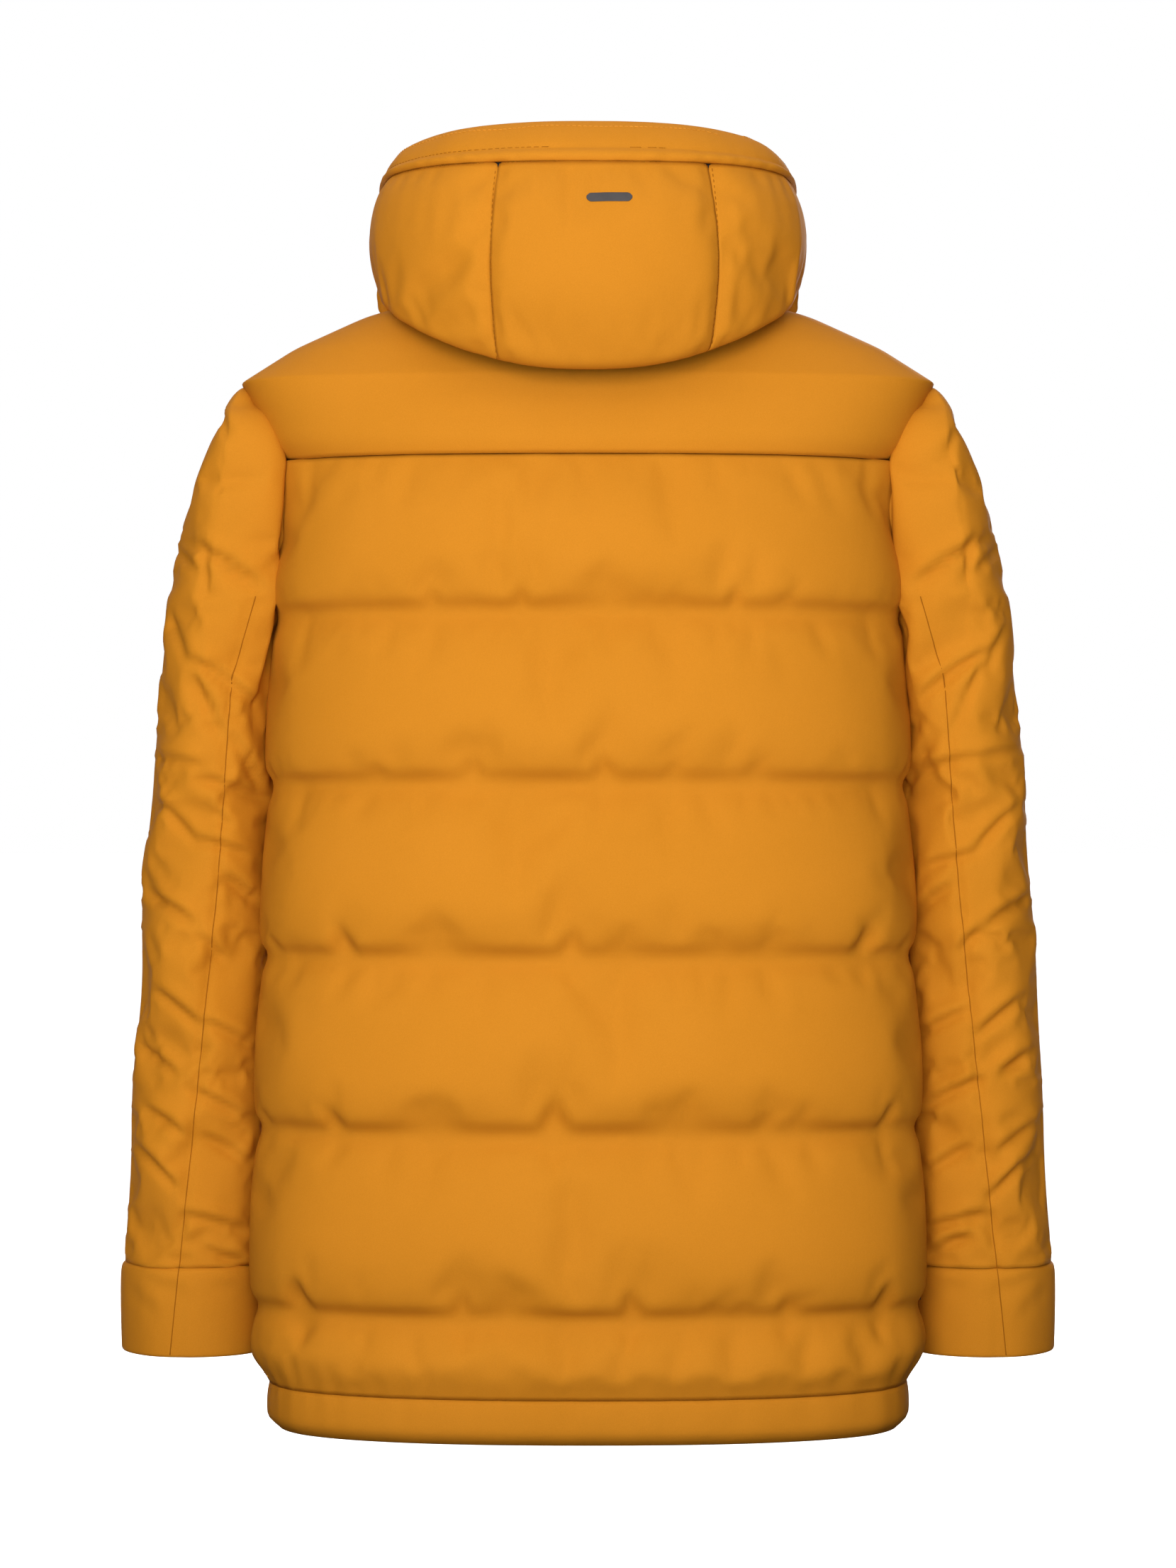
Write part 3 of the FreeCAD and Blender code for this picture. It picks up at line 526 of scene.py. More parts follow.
def tube_along(points, radius, sides=6):
    """Points and faces of a thin closed tube along a path."""
    points = [Vector(p) for p in points]
    verts, faces = [], []
    for number, point in enumerate(points):
        ahead = points[min(number + 1, len(points) - 1)] - points[max(number - 1, 0)]
        ahead.normalize()
        side = ahead.orthogonal() if number == 0 else side - ahead * side.dot(ahead)
        side.normalize()
        up = ahead.cross(side)
        for step in range(sides):
            angle = 2 * math.pi * step / sides
            verts.append(point + radius * (math.cos(angle) * side + math.sin(angle) * up))
    for number in range(len(points) - 1):
        for step in range(sides):
            beside = (step + 1) % sides
            faces.append((number * sides + step, number * sides + beside,
                          (number + 1) * sides + beside, (number + 1) * sides + step))
    faces.append(tuple(range(sides))[::-1])
    faces.append(tuple(range((len(points) - 1) * sides, len(points) * sides)))
    return verts, faces


def join_tubes(name, tubes):
    """One piece made of many separate tubes."""
    verts, faces = [], []
    for tube_verts, tube_faces in tubes:
        start = len(verts)
        verts.extend(tube_verts)
        faces.extend(tuple(start + index for index in face) for face in tube_faces)
    return mesh_object(name, verts, faces)


# ---------------------------------------------------------------- body

SAG = 0.0045                      # how unevenly the filling hangs over a seam
SIDE_PROUD = 0.002                # how far the body stands out where the sleeve lies on it
SIDE_FLAT = 0.30                  # share of a chamber's fullness left where the sleeve lies on it
BODY_FULL = 0.0125                # fullness of a body chamber
FRONT_COLUMNS = 46
BACK_COLUMNS = 92
# along the back from the wearer's left (0) to right (1), height, size: where cloth is caught in a seam
PUCKERS = [(.46, .204, 1.0), (.19, .204, .6), (.71, .204, .35), (.88, .204, .6), (.07, .204, .5),
           (.48, .321, .7), (.20, .321, .8), (.85, .321, .9), (.08, .321, .5), (.93, .321, .4),
           (.52, .437, .55), (.36, .437, .4), (.60, .437, .3), (.05, .437, .5), (.95, .437, .5),
           (.42, .551, .35), (.68, .551, .3), (.31, .551, .25), (.04, .551, .4), (.95, .551, .4),
           (.35, .082, .5), (.55, .082, .6), (.74, .082, .45), (.14, .082, 1.0), (.87, .082, .7)]
BACK_WIDTH = 0.54                 # length of a row across the back
MIDDLE = 0.30                     # height at which the body's columns are told apart
HEM_FOLDS, HEM_GATHERS = 22, 75
HEM_PROUD = 0.0015                # how far the hem band and the yoke stand out from the plain outline
HEM_SIDE_IN = 0.004               # how far the hem lies in where the sleeves hang beside it
HEM_WAVE = 0.0016                 # size of the waves in the cloth above the hem
HEM_ROUND, HEM_ROUND_HEIGHT = 0.008, 0.006   # rounding of the lowest edge
LOW_CHAMBER = 0.55                # share of the fullness in the short chamber above the hem
STITCH_DEPTH, STITCH_REACH = 0.0045, 0.009   # the groove along the hem's stitches
GATHER_DEPTH = 0.0011             # size of the small gathers along that groove


def offset_row(points, amount):
    """Moves plan points along the outward normal of their own line."""
    along = np.gradient(points, axis=0)
    length = np.linalg.norm(along, axis=1, keepdims=True)
    normal = np.stack([along[:, 1], -along[:, 0]], 1) / np.maximum(length, 1e-9)
    return points + normal * np.reshape(amount, (-1, 1))


def trunk_point_row(rows, height, offset):
    """Row round the body at one height, at an offset from its plain outline."""
    half_width, back = table_at(rows, height)
    points = trunk_row(half_width, front_y(height), back)
    return place(offset_row(points, offset), height)


def side_share():
    """1 over most of the body, less at its sides, where the sleeves lie on it."""
    half_width, back = table_at(BODY, MIDDLE)
    points = trunk_row(half_width, front_y(MIDDLE), back)
    nearness = np.clip((np.abs(points[:, 0]) / half_width - 0.90) / 0.09, 0, 1)
    return 1 - (1 - SIDE_FLAT) * nearness


def wavy(count, waves, seed):
    """Uneven waves between about -1 and 1, for puckered seams."""
    chance = np.random.default_rng(seed)
    spots = np.linspace(0, 1, count)
    total = np.zeros(count)
    for _ in range(6):
        size, pace, start = chance.uniform(.5, 1), chance.uniform(.6, 1.5), chance.random()
        total += size * np.sin(2 * math.pi * (waves * pace * spots + start))
    return total / 3


def pucker_share(share, height):
    """1 inside the flat diamonds where cloth is caught across a seam, 0 elsewhere."""
    total = np.zeros_like(share)
    for middle, seam, strength in PUCKERS:
        across = np.abs(share - middle) * BACK_WIDTH / (0.006 + 0.009 * strength)
        reach = 0.010 + (0.016 if height > seam else 0.012) * strength
        inside = 1.25 - across - abs(height - seam) / reach
        total = np.maximum(total, np.clip(inside * 1.6, 0, 1))
    return total * total * (3 - 2 * total)


def zone_of(height, stops):
    """Number of the chamber that a height lies in."""
    return sum(height > stop for stop in stops)


def body_grid():
    """Points of the outer cloth from the hem to the yoke seam, blown up between its seams."""
    stops = [0, HEM_TOP] + BAFFLES + [YOKE_SEAM]
    heights, pinned = zone_heights(stops, SEAM_HALF, STEP)
    columns = 2 * FRONT_COLUMNS + BACK_COLUMNS - 2
    flat = side_share()
    hem_level = HEM_PROUD - HEM_SIDE_IN * ((1 - flat) / (1 - SIDE_FLAT))
    back_share = np.full(columns, -1.0)
    back_share[FRONT_COLUMNS - 1:FRONT_COLUMNS - 1 + BACK_COLUMNS] = np.linspace(0, 1, BACK_COLUMNS)
    edge_share = np.clip(np.minimum(np.arange(columns), np.arange(columns)[::-1]) / 3.0, 0, 1)
    hem_wave, gathers = wavy(columns, HEM_FOLDS, 5), wavy(columns, HEM_GATHERS, 6)
    grid = []
    for number, height in enumerate(heights):
        sag = wavy(columns, 9, 40 + zone_of(height, stops)) * SAG
        full = np.array([plump(height + lower, stops, BODY_FULL) for lower in sag])
        full = np.where(pinned[number], 0, full)
        seam_level = SIDE_PROUD * (1 - flat) - SEAM_DEPTH * flat
        offset = full * flat + seam_level
        near_stitch = math.exp(-abs(height - HEM_TOP) / STITCH_REACH)
        if height <= HEM_TOP:
            offset = hem_level + HEM_WAVE / 2 * hem_wave * math.sin(math.pi * height / HEM_TOP)
            offset = offset - HEM_ROUND * max(0.0, 1 - height / HEM_ROUND_HEIGHT) ** 2
        elif height < BAFFLES[0]:
            share = (height - HEM_TOP) / (BAFFLES[0] - HEM_TOP)
            full = BODY_FULL * LOW_CHAMBER * math.sin(math.pi * share**0.7) * np.ones(columns)
            ripple = HEM_WAVE * hem_wave * math.sin(math.pi * share)
            offset = full + hem_level * (1 - share) + seam_level * share + ripple
        if height < BAFFLES[0]:
            offset = offset - STITCH_DEPTH * near_stitch + GATHER_DEPTH * gathers * near_stitch**0.6
        puckered = pucker_share(back_share, height) * (back_share >= 0)
        offset = offset * (1 - puckered) + seam_level * puckered
        offset = offset * edge_share - 0.001 * (1 - edge_share)
        grid.append(trunk_point_row(BODY, height, offset))
    grid = np.array(grid)
    held = np.zeros(grid.shape[:2])
    held[np.array(pinned)] = 1
    held[heights <= HEM_TOP] = 1
    held[:, :2] = 1
    held[:, -2:] = 1
    grid = inflate(grid, held, False, pressure=2.2, excess=0.024, cap=0.007, bending=3.0)
    return heights, turned_edges(grid, FACING_DEPTH)


def turned_edges(grid, depth):
    """Adds a turned edge at both ends of an open grid: columns that run straight in, towards the lining."""
    ends = []
    for column, beside in ((0, 1), (-1, -2)):
        along = grid[:, column] - grid[:, beside]
        inward = np.stack([along[:, 1], -along[:, 0], 0 * along[:, 0]], 1) * (1 if column else -1)
        inward /= np.maximum(np.linalg.norm(inward, axis=1, keepdims=True), 1e-9)
        overhang = along / np.linalg.norm(along, axis=1, keepdims=True) * 0.0004
        near = grid[:, column] + inward * depth * 0.08 + overhang
        far = grid[:, column] + inward * depth
        ends.append((near, far))
    (near_left, far_left), (near_right, far_right) = ends
    columns = [far_left[:, None], near_left[:, None], grid, near_right[:, None], far_right[:, None]]
    return np.concatenate(columns, 1)


def yoke_grid():
    """Outer cloth over the shoulders, closely spaced where it is almost level."""
    low = np.arange(YOKE_SEAM, SHOULDER, STEP)
    high = SHOULDER + (NECK - SHOULDER) * np.linspace(0, 1, 20)
    grid = []
    for height in np.concatenate([low, high]):
        depth = SEAM_DEPTH * max(0.0, 1 - (height - YOKE_SEAM) / 0.016) ** 2
        grid.append(ruled_row(YOKE, height, HEM_PROUD - depth))
    return turned_edges(np.array(grid), FACING_DEPTH)


def ruled_row(rows, height, offset):
    """Row of a trunk whose sections are joined by straight lines."""
    table = np.asarray(rows)
    half_width, back = (np.interp(height, table[:, 0], table[:, column]) for column in (1, 2))
    points = trunk_row(half_width, front_y(height), back)
    return place(offset_row(points, offset), height)


def make_body():
    """Outer cloth of the body: back, two fronts, hem band and yoke."""
    heights, grid = body_grid()
    hem_rows = int(np.searchsorted(heights, HEM_TOP, "right"))
    first, last = FRONT_COLUMNS + 1, FRONT_COLUMNS + BACK_COLUMNS
    above = grid[hem_rows - 1:]
    body_holes = (open_armholes, open_pockets)
    # name, points, replaced nodes, fill and holes
    parts = [("back_panel", above[:, first:last + 1], ("back_panel_shell", "back_fill"), 0.7, body_holes),
             ("front_left", above[:, :first + 1], ("front_left_shell", "front_left_fill"), 0.7, body_holes),
             ("front_right", above[:, last:], ("front_right_shell", "front_right_fill"), 0.7, body_holes),
             ("hem_roll", hem_roll_grid(grid[:hem_rows]), ("hem_band", "hem_elastic"), 0.3, ()),
             ("yoke", yoke_grid(), ("yoke_shell", "yoke_fill"), 0.7, ())]
    pieces = {name: grid_part(name, points) for name, points, _, _, _ in parts}
    for name, _, replaced, fill, holes in parts:
        finish_piece(pieces[name], "shell_fabric", "torso", replaced, holes=holes)
    return pieces


def hem_roll_grid(outer):
    """Points of the hem band: its outer face, the turned edge and a short inner face."""
    inner = []
    for height, inset in [(-0.001, .010), (0.002, .015), (0.010, .0175), (0.020, .0175), (0.033, .0165)]:
        row = trunk_point_row(BODY, height, -inset)
        inner.append(np.concatenate([row[:1], row[:1], row, row[-1:], row[-1:]]))
    return np.concatenate([np.array(inner)[::-1], outer])


# ---------------------------------------------------------------- cuts

def cut_away(piece, cutter):
    """Takes the cutter's closed volume out of the piece, and removes the cutter."""
    hole = piece.modifiers.new("Hole", "BOOLEAN")
    hole.object = cutter
    hole.operation = "DIFFERENCE"
    hole.solver = "EXACT"
    bake_modifiers(piece)
    bpy.data.objects.remove(cutter)


def armhole_cutter(side, outer_end=0.30):
    """An oval bar through the side of the body, where the arm goes in."""
    verts, faces = [], []
    steps = 48
    for reach in (0.12, outer_end):
        for step in range(steps):
            angle = 2 * math.pi * step / steps
            verts.append((side * reach, ZERO_Y + ARMHOLE_Y + ARMHOLE_DEPTH * math.cos(angle),
                          HEM + ARMHOLE_HEIGHT + ARMHOLE_RISE * math.sin(angle)))
    for step in range(steps):
        beside = (step + 1) % steps
        faces.append((step, beside, steps + beside, steps + step))
    faces.append(tuple(range(steps))[::-1])
    faces.append(tuple(range(steps, 2 * steps)))
    cutter = mesh_object("cutter", verts, faces)
    outward(cutter)
    return cutter


def outward(piece):
    """Turns every face of a closed mesh outwards."""
    work = bmesh.new()
    work.from_mesh(piece.data)
    bmesh.ops.recalc_face_normals(work, faces=work.faces)
    work.to_mesh(piece.data)
    work.free()


def slot_cutter(node):
    """A bar along a pocket zip: the zip chain's own box, in its own direction, as long as the chain, as wide
    as the slot and deeper.
    """
    corners = np.array([v.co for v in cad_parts[node].data.vertices])
    centre = corners.mean(0)
    _, _, axes = np.linalg.svd(corners - centre, full_matrices=False)
    local = (corners - centre) @ axes.T
    low, high = local.min(0), local.max(0)
    low[1], high[1] = -SLOT_HALF, SLOT_HALF
    low[2], high[2] = -0.03, 0.03
    points = [centre + np.array([a, b, c]) @ axes
              for a in (low[0], high[0]) for b in (low[1], high[1]) for c in (low[2], high[2])]
    faces = [(0, 1, 3, 2), (4, 6, 7, 5), (0, 4, 5, 1), (2, 3, 7, 6), (0, 2, 6, 4), (1, 5, 7, 3)]
    cutter = mesh_object("cutter", points, faces)
    outward(cutter)
    return cutter


def open_armholes(piece):
    """Cuts both armholes out of a piece of the body."""
    for side in SIDES.values():
        cut_away(piece, armhole_cutter(side))


def open_pockets(piece):
    """Cuts both pocket mouths out of a piece of the body."""
    for name in SIDES:
        cut_away(piece, slot_cutter(name + "_pocket_zip_chain"))


# ---------------------------------------------------------------- lining and collar

def make_linings():
    """Back, front and shoulder linings, slack between their seams, with both armholes cut out."""
    first, last = FRONT_COLUMNS - 1, FRONT_COLUMNS - 2 + BACK_COLUMNS
    heights = np.linspace(LINING_LOW, YOKE_SEAM, 60)
    grid = np.array([trunk_point_row(BODY, height, -LINING_INSET) for height in heights])
    rows, columns = grid.shape[:2]
    slack = np.sin(np.linspace(0, math.pi, rows))[:, None, None] ** 0.5
    ripple = wavy(columns, 16, 11)[None, :, None] * slack
    grid = grid + ripple * 0.0012 * (grid - grid.mean(1, keepdims=True)) / 0.2
    yoke = []
    for height in np.linspace(YOKE_SEAM, NECK, 30):
        row = ruled_row(YOKE, height, -LINING_INSET)
        row[:, 2] -= LINING_INSET * min(1.0, (height - YOKE_SEAM) / 0.055)
        yoke.append(row)
    parts = {"back_lining": grid[:, first:last + 1], "front_left_lining": grid[:, :first + 1],
             "front_right_lining": grid[:, last:], "yoke_lining": np.array(yoke)}
    for node, points in parts.items():
        piece = grid_part(node + "_cloth", points)
        finish_piece(piece, "lining", "torso", (node,), thickness=LINING_WALL, holes=(open_armholes,))


def make_collar():
    """Padded stand-up collar: outer face, rounded top, dark inner face."""
    low, high = COLLAR[0][0], COLLAR[-1][0]
    start, end = low - COLLAR_HIDDEN, high - COLLAR_ROUND
    outer, heights = [], np.linspace(start, end, 12)
    for height in heights:
        share = (height - heights[0]) / (heights[-1] - heights[0])
        full = COLLAR_FULL * math.sin(math.pi * min(1.0, share * 1.05) ** 0.8) if share < 0.95 else 0.0
        outer.append(ruled_row(COLLAR, max(height, low), full))
        outer[-1][:, 2] = HEM + height
    for turn in np.linspace(0.25, 1.0, 5) * math.pi:
        row = ruled_row(COLLAR, high, -COLLAR_WALL / 2 * (1 - math.cos(turn)))
        row[:, 2] = HEM + end + COLLAR_ROUND * math.sin(turn)
        outer.append(row)
    inner = []
    for height in np.linspace(end, start, 10):
        row = ruled_row(COLLAR, max(height, low), -COLLAR_WALL - 0.0005)
        row[:, 2] = HEM + height
        inner.append(row)
    outer, inner = turned_edges(np.array(outer), COLLAR_WALL), np.array(inner)
    roll = grid_part("collar", outer)
    finish_piece(roll, "shell_fabric", "torso", ("collar_shell", "collar_fill"))
    facing = grid_part("collar_facing", inner)
    finish_piece(facing, "lining", "torso", ("collar_lining",), thickness=LINING_WALL)


# ---------------------------------------------------------------- sleeves

SLEEVE_COLUMNS = 72
SLEEVE_EDGE = -0.0030             # offset of the sleeve's outer edge, which stays smooth
SLEEVE_SEAM_TOP = 0.565           # the long seam down the back starts here
SLEEVE_TOP, CROWN_RISE = 0.696, 0.0148
CROWN_CLIMB, CROWN_INSET = 0.010, 0.002      # how far up the outlines, and in, its last row is taken from
CROWN_CLOSING, CROWN_SHIFT = 0.6, 0.007      # how much that row is drawn together, and moved to the body
SEAM_FADE = 0.096                 # the seams across the sleeve fade out over this height below its top
SLEEVE_LINING_TOP = 0.672
GROOVE_DEPTH, GROOVE_UNEVEN, GROOVE_HALF = 0.0016, 0.0008, 0.0035   # the groove of the long seam
SLANT_DEPTH = 0.0022              # size of the broad slanting waves in the cloth
SLEEVE_HOLE_END = 0.236           # the hole in the sleeve head stops at this distance from the middle
TUCK_LOW, TUCK_RANGE = 0.43, 0.14  # the inner side starts to follow the body here, and how soon it does
HEAD_LOW, HEAD_RANGE = 0.69, 0.022  # and over this height it lets go of the body again
SLEEVE_FULL = -0.0022             # the chambers start a little sunken, and the air pressure fills them
ELBOW_X, ELBOW_DEPTH, ELBOW_HEIGHTS = 0.267, 0.04, (0.425, 0.335)   # the elbow's place and depth, and the two heights given with the sleeve's blend


def loop_points(centre_x, half_width, centre_y, half_depth, power, count):
    """Closed loop of plan points, evenly spaced, anticlockwise from above, starting on the back."""
    start = math.pi / 2
    points = arc_points(half_width, centre_y, half_depth, half_depth, power, start, start + 2 * math.pi,
                        count + 1, centre_x)
    return points[:-1]


def offset_loop(points, amount):
    """Moves plan points along the outward normal of their own closed loop."""
    along = np.roll(points, -1, 0) - np.roll(points, 1, 0)
    length = np.linalg.norm(along, axis=1, keepdims=True)
    normal = np.stack([along[:, 1], -along[:, 0]], 1) / np.maximum(length, 1e-9)
    return points + normal * np.reshape(amount, (-1, 1))


def sleeve_row(height, offset, count=SLEEVE_COLUMNS):
    """Points round the left sleeve at one height. Near the armhole its inner side follows the body."""
    inner, outer, centre_y, half_depth = table_at(SLEEVE, height)
    centre, half_width = (inner + outer) / 2, (outer - inner) / 2
    points = loop_points(centre, half_width, centre_y, half_depth, SLEEVE_SQUARENESS, count)
    points = offset_loop(points, offset)
    near = min(1.0, max(0.0, (height - TUCK_LOW) / TUCK_RANGE))
    if height > HEAD_LOW:
        near *= max(0.0, (SHOULDER - height) / HEAD_RANGE)
    for number, (x, y) in enumerate(points):
        inward = (centre - x) / half_width
        if inward > 0:
            target = min(x, body_surface_x(y, height) - PRESSED - float(np.mean(offset)))
            points[number, 0] += near * min(1.0, inward / 0.5) * (target - x)
    return place(points, height)


def body_surface_x(y, height):
    """Half width of the body's outside at a depth and height."""
    table = np.asarray(BODY)
    half_width, back = (np.interp(height, table[:, 0], table[:, column]) for column in (1, 2))
    depth = back - WIDEST_Y if y > WIDEST_Y else WIDEST_Y - front_y(height)
    share = min(0.98, abs(y - WIDEST_Y) / depth)
    return half_width * (1 - share**SQUARENESS) ** (1 / SQUARENESS)


def outer_share():
    """Where each column of the sleeve lies: 1 on its outer side, -1 on its inner side."""
    inner, outer, centre_y, half_depth = table_at(SLEEVE, 0.35)
    points = loop_points(0.0, (outer - inner) / 2, centre_y, half_depth, SLEEVE_SQUARENESS, SLEEVE_COLUMNS)
    return points[:, 0] / ((outer - inner) / 2)


def sleeve_flat():
    """Share of fullness round a sleeve: little on the inner side, which lies on the body."""
    return 1 - 0.75 * np.clip(-outer_share() - 0.55, 0, 0.4) / 0.4


def slant_waves(grid, seed, size, length):
    """Uneven slanting folds over a closed grid, from -1 to 1."""
    rows, columns = grid.shape[:2]
    chance = np.random.default_rng(seed)
    around = np.linspace(0, 2 * math.pi, columns, endpoint=False)[None, :]
    rise = grid[:, :, 2].mean(1)[:, None]
    total = np.zeros((rows, columns))
    for _ in range(size):
        turns = chance.integers(1, 5) * chance.choice([-1, 1])
        strength, pace, start = chance.uniform(.4, 1), chance.uniform(.6, 1.5), chance.uniform(0, 7)
        total += strength * np.sin(turns * around + rise * pace * 2 * math.pi / length + start)
    return total / math.sqrt(size)


def seam_line_x(height):
    """Where the sleeve's long seam runs down its back."""
    return float(np.interp(height, [0.043, 0.36, 0.51, SLEEVE_SEAM_TOP], [0.288, 0.254, 0.242, 0.225]))


# folds of the sleeve's cloth: outer end, height there, inner end, height there, and depth
SLEEVE_FOLDS = [
    (.263, .604, .221, .574, .0042), (.259, .598, .256, .566, .0026), (.283, .592, .264, .574, .0024),
    (.269, .524, .227, .495, .0044), (.271, .523, .252, .480, .0028), (.284, .548, .272, .520, .0022),
    (.239, .473, .222, .436, .0030), (.247, .688, .241, .670, .0028), (.296, .462, .262, .456, .0022),
    (.262, .452, .226, .440, .0030), (.297, .432, .268, .404, .0030), (.266, .398, .232, .388, .0032),
    (.250, .372, .226, .350, .0030), (.300, .358, .270, .340, .0036), (.268, .338, .254, .322, .0028),
    (.296, .300, .266, .276, .0036), (.262, .286, .232, .268, .0030), (.306, .262, .282, .246, .0030),
    (.270, .232, .236, .214, .0036), (.308, .214, .280, .196, .0030), (.262, .196, .234, .178, .0030),
    (.310, .176, .282, .150, .0036), (.276, .150, .240, .140, .0030), (.262, .128, .234, .114, .0028),
    (.304, .098, .272, .088, .0022), (.262, .084, .238, .078, .0020), (.318, .074, .298, .060, .0020)]
FOLD_WIDTH, FOLD_LIMIT = 0.0052, 0.0046
FOLD_DEPTH, FOLD_REACH, FOLD_BOW = 1.7, 0.52, 0.10   # shares of a fold's own depth and length
RIDGE_SIZE, RIDGE_SHIFT, GROOVE_WIDTH = 0.55, 1.3, 0.62   # the ridge beside the groove, and how sharp that is
CUFF_SEED, CUFF_FOLDS = 55, 0.5   # the folds are half as deep on the cuff
# height and inset of the cuff's cloth, down its outer face and up its inner face
CUFF_PROFILE = [(CUFF_TOP, .0034), (CUFF_TOP - .002, .0012), (CUFF_TOP - .008, .0002), (.085, 0), (.070, 0),
                (.056, .0002), (.047, .0004), (CUFF_LOW + .0015, .0006), (CUFF_LOW, .0018),
                (CUFF_LOW + .001, .0034), (.050, .0044), (.070, .0050), (.088, .0056)]


def sleeve_folds(x, facing, height, seed):
    """Creased folds on the sleeve's back and front, each a soft ridge over a sharp groove."""
    chance = np.random.default_rng(seed + 100)
    total = np.zeros(x.shape)
    for way in (1, -1):
        for outer_x, outer_height, inner_x, inner_height, depth in SLEEVE_FOLDS:
            shift_x, shift_height = chance.uniform(-.004, .004), chance.uniform(-.012, .012)
            run, fall = inner_x - outer_x, inner_height - outer_height
            length = math.hypot(run, fall)
            from_x = x - (outer_x + inner_x) / 2 - shift_x
            from_height = height - (outer_height + inner_height) / 2 - shift_height
            along = (from_x * run + from_height * fall) / length
            bow = FOLD_BOW * (along**2 / length - length / 4)
            across = (from_x * fall - from_height * run) / length + bow
            fold = RIDGE_SIZE * np.exp(-((across - RIDGE_SHIFT * FOLD_WIDTH) / FOLD_WIDTH) ** 2)
            fold = fold - np.exp(-(across / (GROOVE_WIDTH * FOLD_WIDTH)) ** 2)
            ends = np.exp(-(along / (FOLD_REACH * length)) ** 4)
            total += FOLD_DEPTH * depth * fold * ends * np.clip((way * facing - 0.3) / 0.4, 0, 1)
    return FOLD_LIMIT * np.tanh(total / FOLD_LIMIT)


def refine(grid):
    """Doubles the rows and columns of a closed grid along smooth curves."""
    before, after = np.roll(grid, 1, axis=1), np.roll(grid, -1, axis=1)
    middle = (9 * (grid + after) - before - np.roll(grid, -2, axis=1)) / 16
    wide = np.stack([grid, middle], axis=2).reshape(len(grid), -1, 3)
    rows = [wide[0]]
    for number in range(len(wide) - 1):
        low, high = wide[number], wide[number + 1]
        if 0 < number < len(wide) - 2:
            rows.append((9 * (low + high) - wide[number - 1] - wide[number + 2]) / 16)
        else:
            rows.append((low + high) / 2)
        rows.append(high)
    return np.array(rows)


def outward_in_plan(grid):
    """Outward direction in plan at each point of a closed grid."""
    away = (grid - grid.mean(1, keepdims=True)) * np.array([1, 1, 0])
    return away / np.maximum(np.linalg.norm(away, axis=2, keepdims=True), 1e-9)


def sleeve_crown():
    """Rows that close the sleeve over its head."""
    crown = []
    for share in (0.35, 0.65, 0.88, 1.0):
        row = sleeve_row(SLEEVE_TOP + CROWN_CLIMB * share, -CROWN_INSET * share)
        middle = row.mean(0)
        row = middle + (row - middle) * (1 - CROWN_CLOSING * share**3) - np.array([CROWN_SHIFT * share, 0, 0])
        row[:, 2] = HEM + SLEEVE_TOP + CROWN_RISE * math.sin(share * math.pi / 2)
        crown.append(row)
    return crown


def seam_catch(x, height, facing, seam_x):
    """How deep the long seam draws the cloth in: an unevenly gathered groove on the sleeve's back."""
    depth = GROOVE_DEPTH + GROOVE_UNEVEN * np.sin(290 * height) * np.sin(97 * height)
    depth = depth * np.exp(-((x - seam_x) / GROOVE_HALF) ** 2) * np.clip(3 * facing, 0, 1)
    return depth * (height < SLEEVE_SEAM_TOP)


def sleeve_grid(seed):
    """Points of the left sleeve's outer cloth, blown up and then creased."""
    stops = [CUFF_TOP] + SLEEVE_SEAMS + [SLEEVE_TOP]
    heights, pinned = zone_heights(stops, SEAM_HALF, STEP)
    flat = sleeve_flat()
    outwards = outer_share()
    grid = []
    for height in heights:
        depth = SLEEVE_SEAM_DEPTH
        if height > SLEEVE_TOP - SEAM_FADE:
            depth = SLEEVE_SEAM_DEPTH * (SLEEVE_TOP - height) / SEAM_FADE
        full = (plump(height, stops, SLEEVE_FULL) - max(depth, 0)) * flat
        edge = (SLEEVE_EDGE - full) * np.clip((outwards - 0.75) / 0.2, 0, 1)
        grid.append(sleeve_row(height, full + edge + SIDE_PROUD * (1 - flat)))
    grid = np.array(grid + sleeve_crown())
    held = np.zeros(grid.shape[:2])
    held[:len(pinned)][pinned] = 1
    held[len(pinned):] = 1
    held[:, flat < 0.5] = np.maximum(held[:, flat < 0.5], 0.3)
    held[:, outwards > 0.97] = 1
    outward_push = outward_in_plan(grid)
    waves = slant_waves(grid, seed, 9, 0.16) * flat[None, :]
    waves = waves * (0.25 + 0.75 * np.abs(outward_push[:, :, 1]))
    waves[len(heights):] = 0
    grid = grid + outward_push * waves[:, :, None] * SLANT_DEPTH
    grid = inflate(grid, held, True, pressure=1.5, excess=0.02, cap=0.005, bending=3.0)
    grid = refine(grid)
    outward_push = outward_in_plan(grid)
    facing, height = outward_push[:, :, 1], grid[:, :, 2] - HEM
    folds = sleeve_folds(grid[:, :, 0], facing, height, seed)
    seam_x = np.interp(height, heights, [seam_line_x(h) for h in heights])
    folds = folds - seam_catch(grid[:, :, 0], height, facing, seam_x)
    folds[-8:] = 0
    return grid + outward_push * folds[:, :, None]


def on_side(grid, side):
    """Points of the left sleeve as they are, or mirrored with their columns turned so that faces look out."""
    return grid if side > 0 else (grid * np.array([-1, 1, 1]))[:, ::-1]


def sleeve_bend(name, side):
    """The two bodies a sleeve's cloth crosses, and two points by its elbow: the blend that finish_piece is
    given.
    """
    start, end = ((side * ELBOW_X, ZERO_Y - ELBOW_DEPTH, HEM + height) for height in ELBOW_HEIGHTS)
    return name + "_upper_sleeve", name + "_lower_sleeve", start, end


